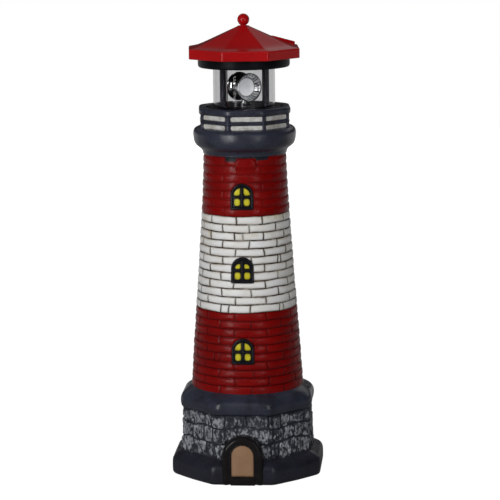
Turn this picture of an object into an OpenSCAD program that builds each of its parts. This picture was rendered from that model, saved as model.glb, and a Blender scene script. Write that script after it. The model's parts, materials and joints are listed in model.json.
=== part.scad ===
// Garden lighthouse ornament: a hollow cast tower with a drop-in solar lantern whose beacon turns.
// Part frame: +Z up, origin on the floor at the tower's axis, door facing -Y. Millimetres.

/* [Tower] */
// Width of the plinth across its flats
plinth_w = 140; // [136:1:144]
// Width of the stone wall across its flats
stone_w = 121; // [119:1:123]
// Width of the moulding over the stone wall
moulding_w = 122; // [120:1:124]
// Radius of the brick shaft at its foot
shaft_r_foot = 52.2; // [51.6:0.2:52.8]
// Radius of the brick shaft under the gallery
shaft_r_top = 38.5; // [38.1:0.1:38.9]
// Wall thickness of the casting at the shaft
wall_t = 5; // [4.5:0.1:5.2]
// Radius of the rounded collar under the gallery
collar_r = 48; // [47:0.5:49]
// Turn of the gallery's octagon about the axis, against the door
gallery_yaw = 6; // [0:1:22]

/* [Lantern] */
// Turn of the lantern in its socket
head_yaw = 6; // [0:1:45]
// Radius of the lantern's seat flange
flange_r = 34.3; // [34:0.1:34.6]
// Outside radius of the clear tube
tube_r = 28.8; // [28.6:0.1:28.9]
// Wall of the clear tube
tube_t = 1.2; // [1:0.1:1.3]
// Radius of the roof at its corners
roof_r = 55.2; // [54.6:0.2:56]
// Radius of the black ring under the roof
ring_r = 42.7; // [42:0.1:43.4]
// Diameter of the ball on the roof
ball_d = 11.2; // [10.4:0.1:12]
// Width of a lantern post
post_w = 5; // [4:0.2:5.4]

/* [Beacon] */
// Turn of the reflectors about the axis at rest
beacon_yaw = 31; // [0:1:359]
// Radius of a reflector's rim
dish_r = 13.4; // [12.6:0.1:14]
// Height of the reflectors' centre
beacon_z = 364; // [363:0.5:364.5]

/* [Hidden] */
$fn = 96;

// ---- heights ----
z_stone = 22;        // foot of the stone wall
z_mould = 64;        // foot of the upper moulding
z_shaft = 82.5;      // where the moulding meets the shaft
z_cove = 301;        // narrowest point under the collar
z_gallery = 327.4;   // floor of the gallery drum
z_rim = 341;         // underside of the gallery rim
z_seat = 342;        // ledge that the lantern rests on
z_top = 346.5;       // top of the gallery rim
z_floor = 347.5;     // top of the lantern's floor
z_ceil = 383;        // underside of the ceiling ring
z_eave = 392;        // lower edge of the roof
z_cup = 294.5;       // underside of the lantern's housing
socket_r = 32.6;     // bore the housing drops through
cup_r = 32;          // outside of the housing
cup_in = 30;         // inside of the housing

// ---- helpers ----
// a prism whose flats face the four sides and the diagonals
module oct(a, z0, z1) translate([0, 0, z0]) rotate([0, 0, 22.5])
    cylinder(r = a / cos(22.5), h = z1 - z0, $fn = 8);
// the same with a profile of [half width across the flats, height]
module oct_profile(pts) rotate([0, 0, 22.5]) rotate_extrude($fn = 8)
    polygon([for (p = pts) [p[0] / cos(22.5), p[1]]]);
module tube(r1, r0, z0, z1) translate([0, 0, z0]) difference() {
    cylinder(r = r1, h = z1 - z0);
    translate([0, 0, -1]) cylinder(r = r0, h = z1 - z0 + 2);
}
module rod(r, z0, z1, x = 0, y = 0) translate([x, y, z0]) cylinder(r = r, h = z1 - z0);
module head() rotate([0, 0, head_yaw]) children();
// a place at radius r and angle a, counted from the front (-Y) towards +X
module at(r, a) rotate([0, 0, a]) translate([0, -r, 0]) children();
// a piece of wire between two points
module wire(p, q, r = 0.5) {
    v = q - p;
    l = norm(v);
    translate(p) rotate([0, acos(v[2] / l), atan2(v[1], v[0])]) cylinder(r = r, h = l, $fn = 24);
}
// an arch that stands on y = 0
module arch(w, h) {
    translate([-w / 2, 0]) square([w, h - w / 2]);
    translate([0, h - w / 2]) circle(d = w, $fn = 64);
}

// ---- the tower ----
shaft_pts = [[z_shaft - 4, shaft_r_foot + 0.6], [90, shaft_r_foot], [129, shaft_r_foot - 2.6],
    [187, shaft_r_foot - 7], [230, shaft_r_foot - 10], [267, shaft_r_top + 1.4],
    [z_cove, shaft_r_top]];
function lerp(p, q, z) = p[1] + (q[1] - p[1]) * (z - p[0]) / (q[0] - p[0]);
function shaft_r(z, i = 0) = i >= len(shaft_pts) - 2 || z < shaft_pts[i + 1][0]
    ? lerp(shaft_pts[i], shaft_pts[i + 1], z) : shaft_r(z, i + 1);

module shaft(d = 0) rotate_extrude() polygon(concat([[0, z_shaft - 4]],
    [for (p = shaft_pts) [p[1] + d, p[0]]], [[0, z_cove]]));

module collar() rotate_extrude() polygon([[0, z_cove], [shaft_r_top, z_cove],
    [shaft_r_top + 0.5, 303.5], [shaft_r_top + 1.7, 306.5], [collar_r - 5.6, 309.6],
    [collar_r - 2.4, 312.2], [collar_r - 0.6, 315.2], [collar_r, 319], [collar_r - 0.3, 323],
    [collar_r - 1.9, 325.8], [collar_r - 5, z_gallery], [0, z_gallery]]);

module gallery() rotate([0, 0, gallery_yaw]) {
    oct(40.2, z_gallery - 1, z_rim + 0.5);
    oct(41.2, 332.4, 335.4);
    oct_profile([[0, z_rim], [43, z_rim], [43, z_top - 1.2], [42, z_top], [0, z_top]]);
    for (k = [0 : 7]) rotate([0, 0, 22.5 + 45 * k]) translate([42.6, 0, z_gallery - 1])
        cylinder(r = 2.4, h = z_rim - z_gallery + 1.5, $fn = 32);
}

// an arched window: a raised frame with four panes sunk behind it
module window_relief(z0) {
    intersection() {
        translate([0, -20, z0]) rotate([90, 0, 0]) linear_extrude(60) difference() {
            arch(21, 24.2);
            for (x = [-5.1, 5.1]) translate([x - 3.3, 3.4]) square([6.6, 6.8]);
            for (s = [-1, 1]) intersection() {
                translate([s * 5.1 - 3.3, 12.2]) square([6.6, 9]);
                translate([0, 12.6]) circle(r = 8.4, $fn = 64);
            }
        }
        shaft(1.7);
    }
    intersection() {
        translate([0, -20, z0]) rotate([90, 0, 0]) linear_extrude(60) arch(19, 23.2);
        shaft(0.4);
    }
}

module doorway() {
    translate([0, -50, 0.6]) rotate([90, 0, 0]) linear_extrude(22.6) difference() {
        arch(38.4, 46.6);
        translate([0, 8.2]) arch(21.4, 30.6);
    }
    translate([0, -50, 0.6]) rotate([90, 0, 0]) linear_extrude(20.6) arch(30, 40);
}

module cavity() rotate_extrude() polygon(concat(
    [[0, 5], [63.5, 5], [63.5, 14], [56, 19], [56, 60], [shaft_r_foot - wall_t, 71]],
    [for (p = shaft_pts) if (p[0] > 80 && p[0] < z_cove) [p[1] - wall_t, p[0]]],
    [[shaft_r_top - wall_t, z_cove], [shaft_r_top - wall_t, 316], [socket_r, 320],
     [socket_r, z_seat], [36, z_seat], [36, z_top + 4], [0, z_top + 4]]));

module tower_shell() color("firebrick") difference() {
    union() {
        intersection() {
            oct_profile([[0, 0], [plinth_w / 2, 0], [plinth_w / 2, 17], [stone_w / 2 + 1, 24], [0, 24]]);
            rod(plinth_w / 2 + 3.4, -1, 30);
        }
        intersection() {
            oct(stone_w / 2, z_stone - 4, z_mould + 3);
            rod(stone_w / 2 + 3, z_stone - 4, z_mould + 4);
        }
        intersection() {
            oct_profile([[0, z_mould], [moulding_w / 2, z_mould], [moulding_w / 2, 77],
                [shaft_r_foot + 1, z_shaft], [0, z_shaft]]);
            rod(moulding_w / 2 + 3, z_mould - 1, z_shaft + 1);
        }
        shaft();
        collar();
        gallery();
        for (z = [254.5, 186.5, 111]) window_relief(z);
        doorway();
    }
    cavity();
}

module seat_gasket() color("dimgray") tube(35.6, 32.75, z_seat, z_seat + 1);

// ---- the lantern's housing ----
boss_xy = [[0, 27.2], [21.3, -17], [-21.3, -17]];
module head_base() color([0.16, 0.16, 0.18]) head() difference() {
    union() {
        // flange and the wall that hangs in the socket
        rotate_extrude() polygon([[26.6, 345], [26.6, z_top], [27.4, z_top], [33.1, z_top],
            [33.9, z_top - 0.4], [flange_r, z_top - 1.2], [flange_r, z_seat + 1],
            [cup_r, z_seat + 1], [cup_r, z_cup + 2.5], [cup_in, z_cup + 2.5], [cup_in, 340.5],
            [24.5, z_seat], [24.5, 345]]);
        for (p = boss_xy) intersection() {
            rod(3, z_cup + 2.5, 312, p[0], p[1]);
            rod(cup_in + 0.8, z_cup, 320);
        }
        // ledges that carry the circuit board
        for (a = [112, 150, 210, 248]) intersection() {
            at(29.4, a) translate([-2, -2, 313]) cube([4, 4, 5]);
            rod(cup_in + 0.8, z_cup, 340);
        }
    }
    // groove for the clear tube
    tube(tube_r + 0.15, tube_r - tube_t - 0.15, z_top - 2, z_top + 2);
    for (p = boss_xy) rod(1.2, z_cup, 306.5, p[0], p[1]);
}

module clear_tube() color([0.85, 0.92, 0.95, 0.4]) head()
    tube(tube_r, tube_r - tube_t, z_top - 1.9, z_ceil + 1.4);

post_a = [-52, 52, 128, -128];
post_c = 25.2;
module lantern_cage() color([0.14, 0.14, 0.16]) head() difference() {
    union() {
        rod(26.4, 345, z_floor);
        for (a = post_a) intersection() {
            at(post_c, a) translate([-post_w / 2, -1.6, z_floor - 1]) cube([post_w, 3.2, z_ceil - z_floor + 1]);
            rod(27.1, 340, 390);
        }
        // spacers that keep the idler gears down
        for (p = [i1, i2]) rod(1.6, p == i1 ? 341.1 : 344.2, 345.4, p[0], p[1]);
        // bearing collar for the beacon
        rod(6.2, z_floor - 1, z_floor + 0.5);
    }
    rod(3.38, 340, 350);
    for (p = [i1, i2]) rod(1, 340, 346, p[0], p[1]);
    for (a = post_a) at(post_c, a) rod(0.9, 375, 384);
    for (p = screw_xy) rod(1.1, 344, 346.4, p[0], p[1]);
    for (p = lead_xy) rod(0.7, 340, 350, p[0], p[1]);
}

// ---- roof ----
module ceiling_ring() color([0.16, 0.16, 0.18]) head() difference() {
    rotate_extrude() polygon([[0, z_ceil], [ring_r - 1.6, z_ceil], [ring_r - 0.5, z_ceil + 0.5],
        [ring_r, z_ceil + 1.6], [ring_r, 396], [ring_r - 2, 396], [ring_r - 2, z_ceil + 2.5],
        [0, z_ceil + 2.5]]);
    tube(tube_r + 0.15, tube_r - tube_t - 0.15, z_ceil - 2, z_ceil + 1.5);
    for (a = post_a) at(post_c, a) rod(0.9, 380, 390);
    for (k = [0 : 3]) at(34, 90 * k) {
        rod(1.3, 380, 390);
        rod(2.7, 380, z_ceil + 1.5);
    }
    for (p = lead_xy) rod(0.7, 380, 390, p[0], p[1]);
}

roof_face = 45;      // the direction, from +X, of the face that carries the solar panel
pad_a = [29, 49.5];  // from the axis to the pad's inner and outer edges
pad_top = [410.1, 403.8];
pad_low = [407.3, 399.4];
pad_tilt = atan((pad_top[0] - pad_top[1]) / (pad_a[1] - pad_a[0]));
pad_w = [for (a = pad_a) a * tan(22.5) - 1.2];
pad_mid = [39.25, (pad_top[0] + pad_top[1]) / 2 - 0.6];
module on_pad() rotate([0, 0, roof_face]) translate([pad_mid[0], 0, pad_mid[1]]) rotate([0, pad_tilt, 0]) children();

module roof_skin() rotate([0, 0, 22.5]) rotate_extrude($fn = 8) polygon([[0, 420.8],
    [5.4, 420.8], [6.3, 420.1], [34, 407.7], [37.2, 406.3], [40.2, 405], [43.2, 403.8],
    [46.3, 402.8], [49.4, 402.1], [52.3, 401.6], [roof_r - 0.5, 401], [roof_r, 400.4],
    [roof_r, z_eave], [roof_r - 2.2, z_eave], [roof_r - 2.2, 398.6], [49, 399.7],
    [44, 400.9], [40, 402.4], [34, 405], [7, 417], [0, 417]]);

module roof_pad() rotate([0, 0, roof_face]) polyhedron(
    [[pad_a[0], -pad_w[0], pad_low[0]], [pad_a[0], pad_w[0], pad_low[0]],
     [pad_a[1], pad_w[1], pad_low[1]], [pad_a[1], -pad_w[1], pad_low[1]],
     [pad_a[0], -pad_w[0], pad_top[0]], [pad_a[0], pad_w[0], pad_top[0]],
     [pad_a[1], pad_w[1], pad_top[1]], [pad_a[1], -pad_w[1], pad_top[1]]],
    [[0, 3, 2, 1], [4, 5, 6, 7], [0, 1, 5, 4], [1, 2, 6, 5], [2, 3, 7, 6], [3, 0, 4, 7]]);

module roof_shell() color([0.75, 0.1, 0.12]) head() difference() {
    union() {
        roof_skin();
        roof_pad();
        rod(4, 411, 419);
        for (k = [0 : 3]) at(34, 90 * k) rod(3, z_ceil + 2.5, 403.5);
    }
    rod(1.9, 405, 425);
    for (k = [0 : 3]) at(34, 90 * k) rod(1.3, 380, 398);
    on_pad() translate([-8.85, -10.6, -0.75]) cube([17.7, 21.2, 5]);
    on_pad() translate([-1.5, 0, -8]) cylinder(r = 3.2, h = 9);
}

module finial_ball() color([0.75, 0.1, 0.12]) head() {
    translate([0, 0, 432 - ball_d / 2]) sphere(d = ball_d);
    rod(2.7, 420.8, 424);
    rod(1.9, 411.5, 421);
}

module solar_panel() color([0.08, 0.1, 0.2]) head() on_pad()
    translate([-8.75, -10.5, -0.75]) cube([17.5, 21, 1.4]);

module roof_screws() color("silver") head() for (k = [0 : 3]) at(34, 90 * k) {
    rod(1.3, z_ceil + 0.4, 397);
    rod(2.5, z_ceil + 0.1, z_ceil + 1.5);
}

module post_screws() color("silver") head() for (a = post_a) at(post_c, a) {
    rod(0.9, 376, z_ceil + 3);
    rod(1.8, z_ceil + 2.5, z_ceil + 3.8);
}

lead_xy = [[-17.2, -14.9], [-16, -16.2]];
module panel_leads() color("crimson") head() for (i = [0, 1]) {
    p = lead_xy[i];
    s = i == 0 ? -0.7 : 0.7;
    q = [25.8 + s, 25.8 - s];
    // down one post, and over the ceiling to the panel
    rod(0.5, 322.4, 390.2, p[0], p[1]);
    wire([p[0], p[1], 389.6], [q[0], q[1], 389.6], 0.42);
    rod(0.5, 389, 406, q[0], q[1]);
    wire([p[0], p[1], 323], [p[0], -1.6, 323], 0.42);
    rod(0.5, 319.6, 323.6, p[0], -1.6);
}

// ---- drive: motor pinion, two double idlers, the beacon's gear ----
gm = 0.5;                         // module of all the gears
o_xy = [0, 0];
i2 = [15 * cos(140), 15 * sin(140)];
i1 = i2 + 12.5 * [cos(-105), sin(-105)];
pn = i1 + 12.5 * [cos(-55), sin(-55)];
screw_xy = [[21, 2], [3, -21], [-2, 21]];

function inv(a) = tan(a) - a * PI / 180;
function base_r(n) = gm * n * cos(20) / 2;
// half the tooth's angle at radius r, thinned a little for play
function half_a(n, r) = 90 / n - 0.05 / (gm * n / 2) * 180 / PI
    + (inv(20) - (r > base_r(n) ? inv(acos(base_r(n) / r)) : 0)) * 180 / PI;
module gear2d(n, add, ded) {
    rp = gm * n / 2;
    rr = [rp - ded * gm, max(base_r(n), rp - ded * gm) + 0.01, rp - 0.02, rp + add * gm * 0.55, rp + add * gm];
    polygon([for (i = [0 : n - 1]) for (k = [0 : 9])
        let(j = k < 5 ? k : 9 - k, s = k < 5 ? -1 : 1, a = i * 360 / n + s * half_a(n, rr[j]))
        rr[j] * [cos(a), sin(a)]]);
}
// where the follower's first tooth points, so that it meshes with a gear whose first tooth is at a1
function mesh_a(c1, n1, a1, c2, n2) = let(f = atan2(c2[1] - c1[1], c2[0] - c1[0]))
    f + 180 - (a1 - f) * n1 / n2 - 180 / n2;
a_out = 0;
a_i2s = mesh_a(o_xy, 50, a_out, i2, 10);
a_i2b = 0;
a_i1s = mesh_a(i2, 40, a_i2b, i1, 10);
a_i1b = 0;
a_pin = mesh_a(i1, 40, a_i1b, pn, 10);
module small_gear(a, z0, z1) translate([0, 0, z0]) rotate([0, 0, a])
    linear_extrude(z1 - z0) gear2d(10, 1, 0.9);
module big_gear(n, a, z0, z1) translate([0, 0, z0]) rotate([0, 0, a])
    linear_extrude(z1 - z0) gear2d(n, 0.6, 1.15);

module motor_pinion() color("gold") head() translate([pn[0], pn[1], 0]) difference() {
    union() {
        small_gear(a_pin, 335.4, 338.8);
        rod(1.85, 334.8, 335.4);
    }
    rod(1, 330, 345);
}
module motor_armature() color("peru") head() translate([pn[0], pn[1], 0]) {
    rod(1, 313.6, 338.8);
    rod(4.6, 317, 326);
}
module idler_gear_1() color("ivory") head() translate([i1[0], i1[1], 0]) difference() {
    union() {
        big_gear(40, a_i1b, 336.2, 338.2);
        small_gear(a_i1s, 338.2, 340.9);
    }
    rod(1.06, 330, 350);
}
module idler_gear_2() color("ivory") head() translate([i2[0], i2[1], 0]) difference() {
    union() {
        big_gear(40, a_i2b, 338.8, 340.8);
        small_gear(a_i2s, 340.8, 344);
    }
    rod(1.06, 330, 350);
}
module output_gear() color("ivory") head() difference() {
    union() {
        big_gear(50, a_out, 341.8, 343.8);
        rod(5.4, 343.8, 344.6);
    }
    rod(3.3, 340, 350);
}
module idler_axles() color("silver") head() for (p = [i1, i2]) rod(1, 332.6, 346, p[0], p[1]);

module gear_plate() color([0.3, 0.3, 0.32]) head() difference() {
    union() {
        rod(27.5, 332, 334);
        rod(1.6, 333, 336, i1[0], i1[1]);
        rod(1.6, 333, 338.6, i2[0], i2[1]);
        for (p = screw_xy) rod(2.4, 333, 345, p[0], p[1]);
        rod(3.2, 333, 337, 0, 0);
    }
    for (p = [i1, i2]) rod(1, 332.6, 340, p[0], p[1]);
    rod(2, 330, 336, pn[0], pn[1]);
    rod(2.1, 330, 340);
    for (p = screw_xy) rod(1.1, 330, 346, p[0], p[1]);
    for (p = lead_xy) rod(1, 330, 340, p[0], p[1]);
}
module gear_plate_screws() color("silver") head() for (p = screw_xy) {
    rod(1.1, 331.6, 346.3, p[0], p[1]);
    rod(2.1, 330.6, 332, p[0], p[1]);
}
module motor_can() color("lightsteelblue") head() translate([pn[0], pn[1], 0]) {
    difference() {
        union() {
            rod(7.75, 312, 332);
            rod(2.9, 311, 312.5);
        }
        rod(6.4, 313.5, 330.8);
        rod(1.06, 313, 335);
    }
    // brush terminals
    for (s = [-1, 1]) translate([s * 5 - 0.8, -0.3, 309.6]) cube([1.6, 0.6, 2.4]);
}

// ---- beacon: two dished reflectors on a hub that turns round the lamp's mast ----
module about_beacon(s) rotate([0, 0, beacon_yaw]) translate([0, 0, beacon_z]) rotate([0, 0, s < 0 ? 180 : 0])
    rotate([90, 0, 0]) children();

module dish() rotate_extrude() polygon([[3, 2.8], [8.4, 2.8], [10, 4], [11.6, 6], [12.4, 7.9],
    [dish_r, 7.9], [dish_r, 9.9], [dish_r - 0.9, 9.9], [dish_r - 1.1, 9.2], [11.4, 7.4],
    [10.3, 5.6], [8.9, 4.5], [7.6, 4], [3, 4]]);
module reflector_front() color("silver") head() about_beacon(1) dish();
module reflector_rear() color("silver") head() about_beacon(-1) dish();

module beacon_hub() color("silver") head() difference() {
    union() {
        about_beacon(1) translate([0, 0, -2.8]) difference() {
            cylinder(r = 8.6, h = 5.6);
            translate([0, 0, -1]) cylinder(r = 7, h = 8);
        }
        difference() {
            union() {
                rod(3.3, 341.8, beacon_z - 7.4);
                rod(5.2, z_floor + 0.8, z_floor + 1.8);
            }
            about_beacon(1) translate([0, 0, -5]) cylinder(r = 7, h = 10);
            for (s = [-1, 1]) about_beacon(s) translate([0, 0, 2.8]) cylinder(r = 8.6, h = 3);
        }
    }
    rod(2.18, 340, beacon_z);
}
module led_mast() color("silver") head() difference() {
    rod(2.1, 332, beacon_z - 3.5);
    rod(1.2, 330, beacon_z);
}
module led_lamp() color("khaki") head() {
    rod(1.9, beacon_z - 3.5, beacon_z - 2.5);
    rod(1.5, beacon_z - 2.6, beacon_z + 1);
    translate([0, 0, beacon_z + 1]) sphere(r = 1.5, $fn = 48);
}

// ---- electrics in the housing ----
module circuit_board() color("seagreen") head() difference() {
    intersection() {
        rod(28.6, 318, 319.6);
        translate([-40, -3, 300]) cube([80, 60, 40]);
    }
    rod(4, 300, 340, 0, 27.2);
}
module board_parts() color([0.12, 0.12, 0.12]) head() {
    rod(3.2, 319.6, 325, 12, 10);
    translate([-12, 10, 319.6]) cube([5.2, 4.2, 1.5]);
    translate([-2, 16, 319.6]) cube([4, 2.6, 3.6]);
    rod(2.5, 319.6, 326.5, 3.5, 8.5);
    translate([16, -1, 319.6]) cube([3, 5, 1.2]);
}
module inner_wiring() color("crimson") head() {
    // battery to board
    for (s = [-1, 1]) wire([s * 26.75, 4, 310], [s * 26.75, 4, 318]);
    // motor to board
    for (s = [-1, 1]) {
        a = [pn[0] + s * 5, pn[1] + 0.3, 310.6];
        b = [pn[0] + s * 5, -4.4, 310.6];
        c = [pn[0] + s * 5, -4.4, 318.8];
        d = [pn[0] + s * 5, -3, 318.8];
        wire(a, b); wire(b, c); wire(c, d);
        for (q = [b, c]) translate(q) sphere(r = 0.5, $fn = 24);
    }
    // lamp to board, inside the mast
    for (s = [-1, 1]) wire([s * 0.55, 0, 319.6], [s * 0.55, 0, beacon_z - 3.5], 0.4);
    // switch to board
    for (s = [-1, 1]) {
        a = [7.2 + s * 2, -16, 301];
        b = [7.2 + s * 2, -16, 318.8];
        c = [7.2 + s * 2, -3, 318.8];
        wire(a, b); wire(b, c);
        translate(b) sphere(r = 0.5, $fn = 24);
    }
}
module battery_cell() color("gold") head() translate([0, 4, 305]) {
    translate([-23.6, 0, 0]) rotate([0, 90, 0]) cylinder(r = 7.25, h = 49.3);
    translate([25.7, 0, 0]) rotate([0, 90, 0]) cylinder(r = 2.7, h = 1.2);
}
module contact_spring() color("silver") head() translate([0, 4, 305]) for (i = [0 : 4])
    translate([-26.5 + i * 0.625, 0, 0]) rotate([0, 90, 0]) rotate_extrude() translate([4.6 - 0.35 * i, 0]) circle(r = 0.4, $fn = 24);
module contact_plates() color("silver") head() for (s = [-1, 1])
    translate([s * 27.1 - 0.2, 0, 300]) cube([0.4, 8, 10]);

// ---- bottom cover with the battery bay, its door and the switch ----
hinge_y = 13.7;
hinge_z = z_cup + 1.25;
module bottom_cover() color([0.2, 0.2, 0.22]) head() difference() {
    union() {
        rod(cup_r, z_cup, z_cup + 2.5);
        // end walls behind the contacts
        for (s = [-1, 1]) translate([s * 27.9 - 0.6, -0.4, z_cup + 2]) cube([1.2, 8.6, 14]);
        // cradle walls beside the cell
        for (x = [-15, 12]) {
            translate([x, -5.2, z_cup + 2]) cube([3, 1.6, 6]);
        }
    }
    // opening for the door, with a pocket for its knuckles
    translate([-26.8, -4.5, z_cup - 1]) cube([53.6, 17, 5]);
    for (x = [-14.6, 8.6]) translate([x, 11, z_cup - 1]) cube([6, 5, 5]);
    translate([-16.4, hinge_y, hinge_z]) rotate([0, 90, 0]) cylinder(r = 0.8, h = 32.8);
    for (p = boss_xy) {
        rod(1.4, z_cup - 1, z_cup + 4, p[0], p[1]);
        rod(2.6, z_cup - 1, z_cup + 1.4, p[0], p[1]);
    }
    // slot for the switch's slider
    translate([3.6, -17.2, z_cup - 1]) cube([7.2, 2.4, 5]);
}
module cover_screws() color("silver") head() for (p = boss_xy) {
    rod(2.4, z_cup + 0.1, z_cup + 1.4, p[0], p[1]);
    rod(1.2, z_cup + 1.4, 305.5, p[0], p[1]);
}
module battery_door() color([0.24, 0.24, 0.26]) head() difference() {
    union() {
        translate([-26.5, -4.2, z_cup]) cube([53, 16.1, 1.8]);
        for (x = [-14.2, 9]) {
            translate([x, 11.8, z_cup]) cube([5.2, 1.9, 1.8]);
            translate([x, hinge_y, hinge_z]) rotate([0, 90, 0]) cylinder(r = 1.6, h = 5.2);
        }
        // finger ridges
        for (i = [0 : 2]) translate([-6, -2.6 + 1.6 * i, z_cup - 0.4]) cube([12, 0.7, 0.5]);
    }
    translate([-30, hinge_y, hinge_z]) rotate([0, 90, 0]) cylinder(r = 0.86, h = 60);
}
module door_hinge_pin() color("silver") head() translate([-16.4, hinge_y, hinge_z]) rotate([0, 90, 0])
    cylinder(r = 0.8, h = 32.8);
module switch_body() color([0.5, 0.5, 0.52]) head() difference() {
    translate([2.9, -18, z_cup + 2.5]) cube([8.6, 4, 4]);
    translate([3.9, -17.1, z_cup + 2]) cube([6.6, 2.2, 2.5]);
}
module switch_slider() color("white") head() translate([4.3, -16.8, z_cup + 0.3]) cube([2.2, 1.6, 3.8]);

tower_shell();
seat_gasket();
head_base();
lantern_cage();
clear_tube();
ceiling_ring();
roof_shell();
finial_ball();
solar_panel();
roof_screws();
post_screws();
panel_leads();
gear_plate();
gear_plate_screws();
idler_axles();
motor_can();
motor_armature();
motor_pinion();
idler_gear_1();
idler_gear_2();
output_gear();
beacon_hub();
reflector_front();
reflector_rear();
led_mast();
led_lamp();
circuit_board();
board_parts();
inner_wiring();
battery_cell();
contact_spring();
contact_plates();
bottom_cover();
cover_screws();
battery_door();
door_hinge_pin();
switch_body();
switch_slider();
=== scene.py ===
"""Garden lighthouse ornament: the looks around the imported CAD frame. Metres, +Z up, door towards -Y."""
import bpy, bmesh, json, math
import numpy as np
from mathutils import Vector, Matrix


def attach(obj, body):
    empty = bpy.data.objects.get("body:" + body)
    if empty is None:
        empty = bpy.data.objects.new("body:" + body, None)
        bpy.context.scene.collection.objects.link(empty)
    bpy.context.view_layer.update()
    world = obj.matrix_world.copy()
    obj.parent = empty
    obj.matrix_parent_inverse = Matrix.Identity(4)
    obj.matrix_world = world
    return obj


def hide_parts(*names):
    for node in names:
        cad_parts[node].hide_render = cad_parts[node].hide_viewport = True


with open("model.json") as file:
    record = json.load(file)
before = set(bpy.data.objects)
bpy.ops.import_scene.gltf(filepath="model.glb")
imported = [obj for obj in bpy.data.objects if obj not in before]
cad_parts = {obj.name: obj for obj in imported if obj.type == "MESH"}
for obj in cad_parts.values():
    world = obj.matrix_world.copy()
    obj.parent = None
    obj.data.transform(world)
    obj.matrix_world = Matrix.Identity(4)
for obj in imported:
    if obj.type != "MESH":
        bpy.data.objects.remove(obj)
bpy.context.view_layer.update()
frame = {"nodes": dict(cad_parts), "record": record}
NODES = frame["nodes"]
MM = 0.001
PI = math.pi
DEG = PI / 180
HEAD_YAW = 6.0
GAL_YAW = 6.0

# ------------------------------------------------------------------ noise
def _hash(i, j, k, seed):
    n = (i * 374761393 + j * 668265263 + k * 1440662683 + seed * 974634777) & 0xFFFFFFFF
    n = ((n ^ (n >> 13)) * 1274126177) & 0xFFFFFFFF
    n = n ^ (n >> 16)
    return (n & 0xFFFF).astype(float) / 32767.5 - 1.0


def vn(x, y, z, seed=0):
    """Smooth value noise from -1 to 1."""
    x, y, z = np.broadcast_arrays(np.asarray(x, float), np.asarray(y, float), np.asarray(z, float))
    xi, yi, zi = np.floor(x).astype(np.int64), np.floor(y).astype(np.int64), np.floor(z).astype(np.int64)
    fx, fy, fz = x - xi, y - yi, z - zi
    fx, fy, fz = (t * t * t * (t * (t * 6 - 15) + 10) for t in (fx, fy, fz))
    out = 0
    for a in (0, 1):
        for b in (0, 1):
            for c in (0, 1):
                w = (fx if a else 1 - fx) * (fy if b else 1 - fy) * (fz if c else 1 - fz)
                out = out + w * _hash(xi + a, yi + b, zi + c, seed)
    return out


def fbm(x, y, z, seed=0, octaves=3):
    s, amp, tot = 0, 1.0, 0.0
    for o in range(octaves):
        s = s + amp * vn(np.asarray(x) * 2**o, np.asarray(y) * 2**o, np.asarray(z) * 2**o, seed + 17 * o)
        tot += amp
        amp *= 0.5
    return s / tot


def sstep(a, b, x):
    t = np.clip((np.asarray(x, float) - a) / (b - a), 0, 1)
    return t * t * (3 - 2 * t)


# ------------------------------------------------------------------ mesh helpers
def make(name, co, quads, ngons=(), attrs=None, smooth=True, sharp=None, turn=True):
    """A mesh object from points in mm, quads and n-gons, faced outwards."""
    co = np.asarray(co, float)
    quads = np.asarray(quads, np.int64).reshape(-1, 4)
    if turn:
        c0 = co.mean(0)
        a, b, c, d = (co[quads[:, i]] for i in range(4))
        n = np.cross(c - a, d - b)
        if ((((a + b + c + d) / 4 - c0) * n).sum()) < 0:
            quads = quads[:, ::-1]
            ngons = [list(g)[::-1] for g in ngons]
    me = bpy.data.meshes.new(name)
    loops = np.concatenate([quads.ravel()] + [np.asarray(g, np.int64) for g in ngons])
    tot = np.concatenate([np.full(len(quads), 4)] + [np.array([len(g)]) for g in ngons]).astype(np.int64)
    start = np.concatenate([[0], np.cumsum(tot)[:-1]])
    me.vertices.add(len(co))
    me.vertices.foreach_set("co", (co * MM).astype(np.float32).ravel())
    me.loops.add(len(loops))
    me.loops.foreach_set("vertex_index", loops.astype(np.int32))
    me.polygons.add(len(tot))
    me.polygons.foreach_set("loop_start", start.astype(np.int32))
    me.polygons.foreach_set("loop_total", tot.astype(np.int32))
    me.update(calc_edges=True)
    me.validate()
    me.polygons.foreach_set("use_smooth", np.full(len(me.polygons), bool(smooth)))
    if sharp is not None:
        me.set_sharp_from_angle(angle=sharp * DEG)
    for k, v in (attrs or {}).items():
        at = me.attributes.new(k, "FLOAT", "POINT")
        at.data.foreach_set("value", np.asarray(v, np.float32).ravel())
    ob = bpy.data.objects.new(name, me)
    bpy.context.scene.collection.objects.link(ob)
    return ob


def grid_quads(nv, nu, wrap_v):
    j = np.arange(nv if wrap_v else nv - 1)
    i = np.arange(nu)
    J, I = np.meshgrid(j, i, indexing="ij")
    a, b = J * nu + I, J * nu + (I + 1) % nu
    c, d = ((J + 1) % nv) * nu + (I + 1) % nu, ((J + 1) % nv) * nu + I
    return np.stack([a, b, c, d], -1).reshape(-1, 4)


def ring(rows, name, wrap_v=True, caps=False, attrs=None, **kw):
    """rows[nv, nu, 3] in mm, closed round u; closed over v, or capped at both ends."""
    rows = np.asarray(rows, float)
    nv, nu = rows.shape[:2]
    ng = []
    if caps:
        ng = [list(range(nu))[::-1], [(nv - 1) * nu + i for i in range(nu)]]
    return make(name, rows.reshape(-1, 3), grid_quads(nv, nu, wrap_v), ng,
                attrs={k: np.asarray(v).reshape(-1) for k, v in (attrs or {}).items()}, **kw)


def polar(r, al, z):
    """Points at radius r and angle al (degrees from -Y towards +X) and height z."""
    r, al, z = np.broadcast_arrays(np.asarray(r, float), np.asarray(al, float), np.asarray(z, float))
    return np.stack([r * np.sin(al * DEG), -r * np.cos(al * DEG), z], -1)


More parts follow.
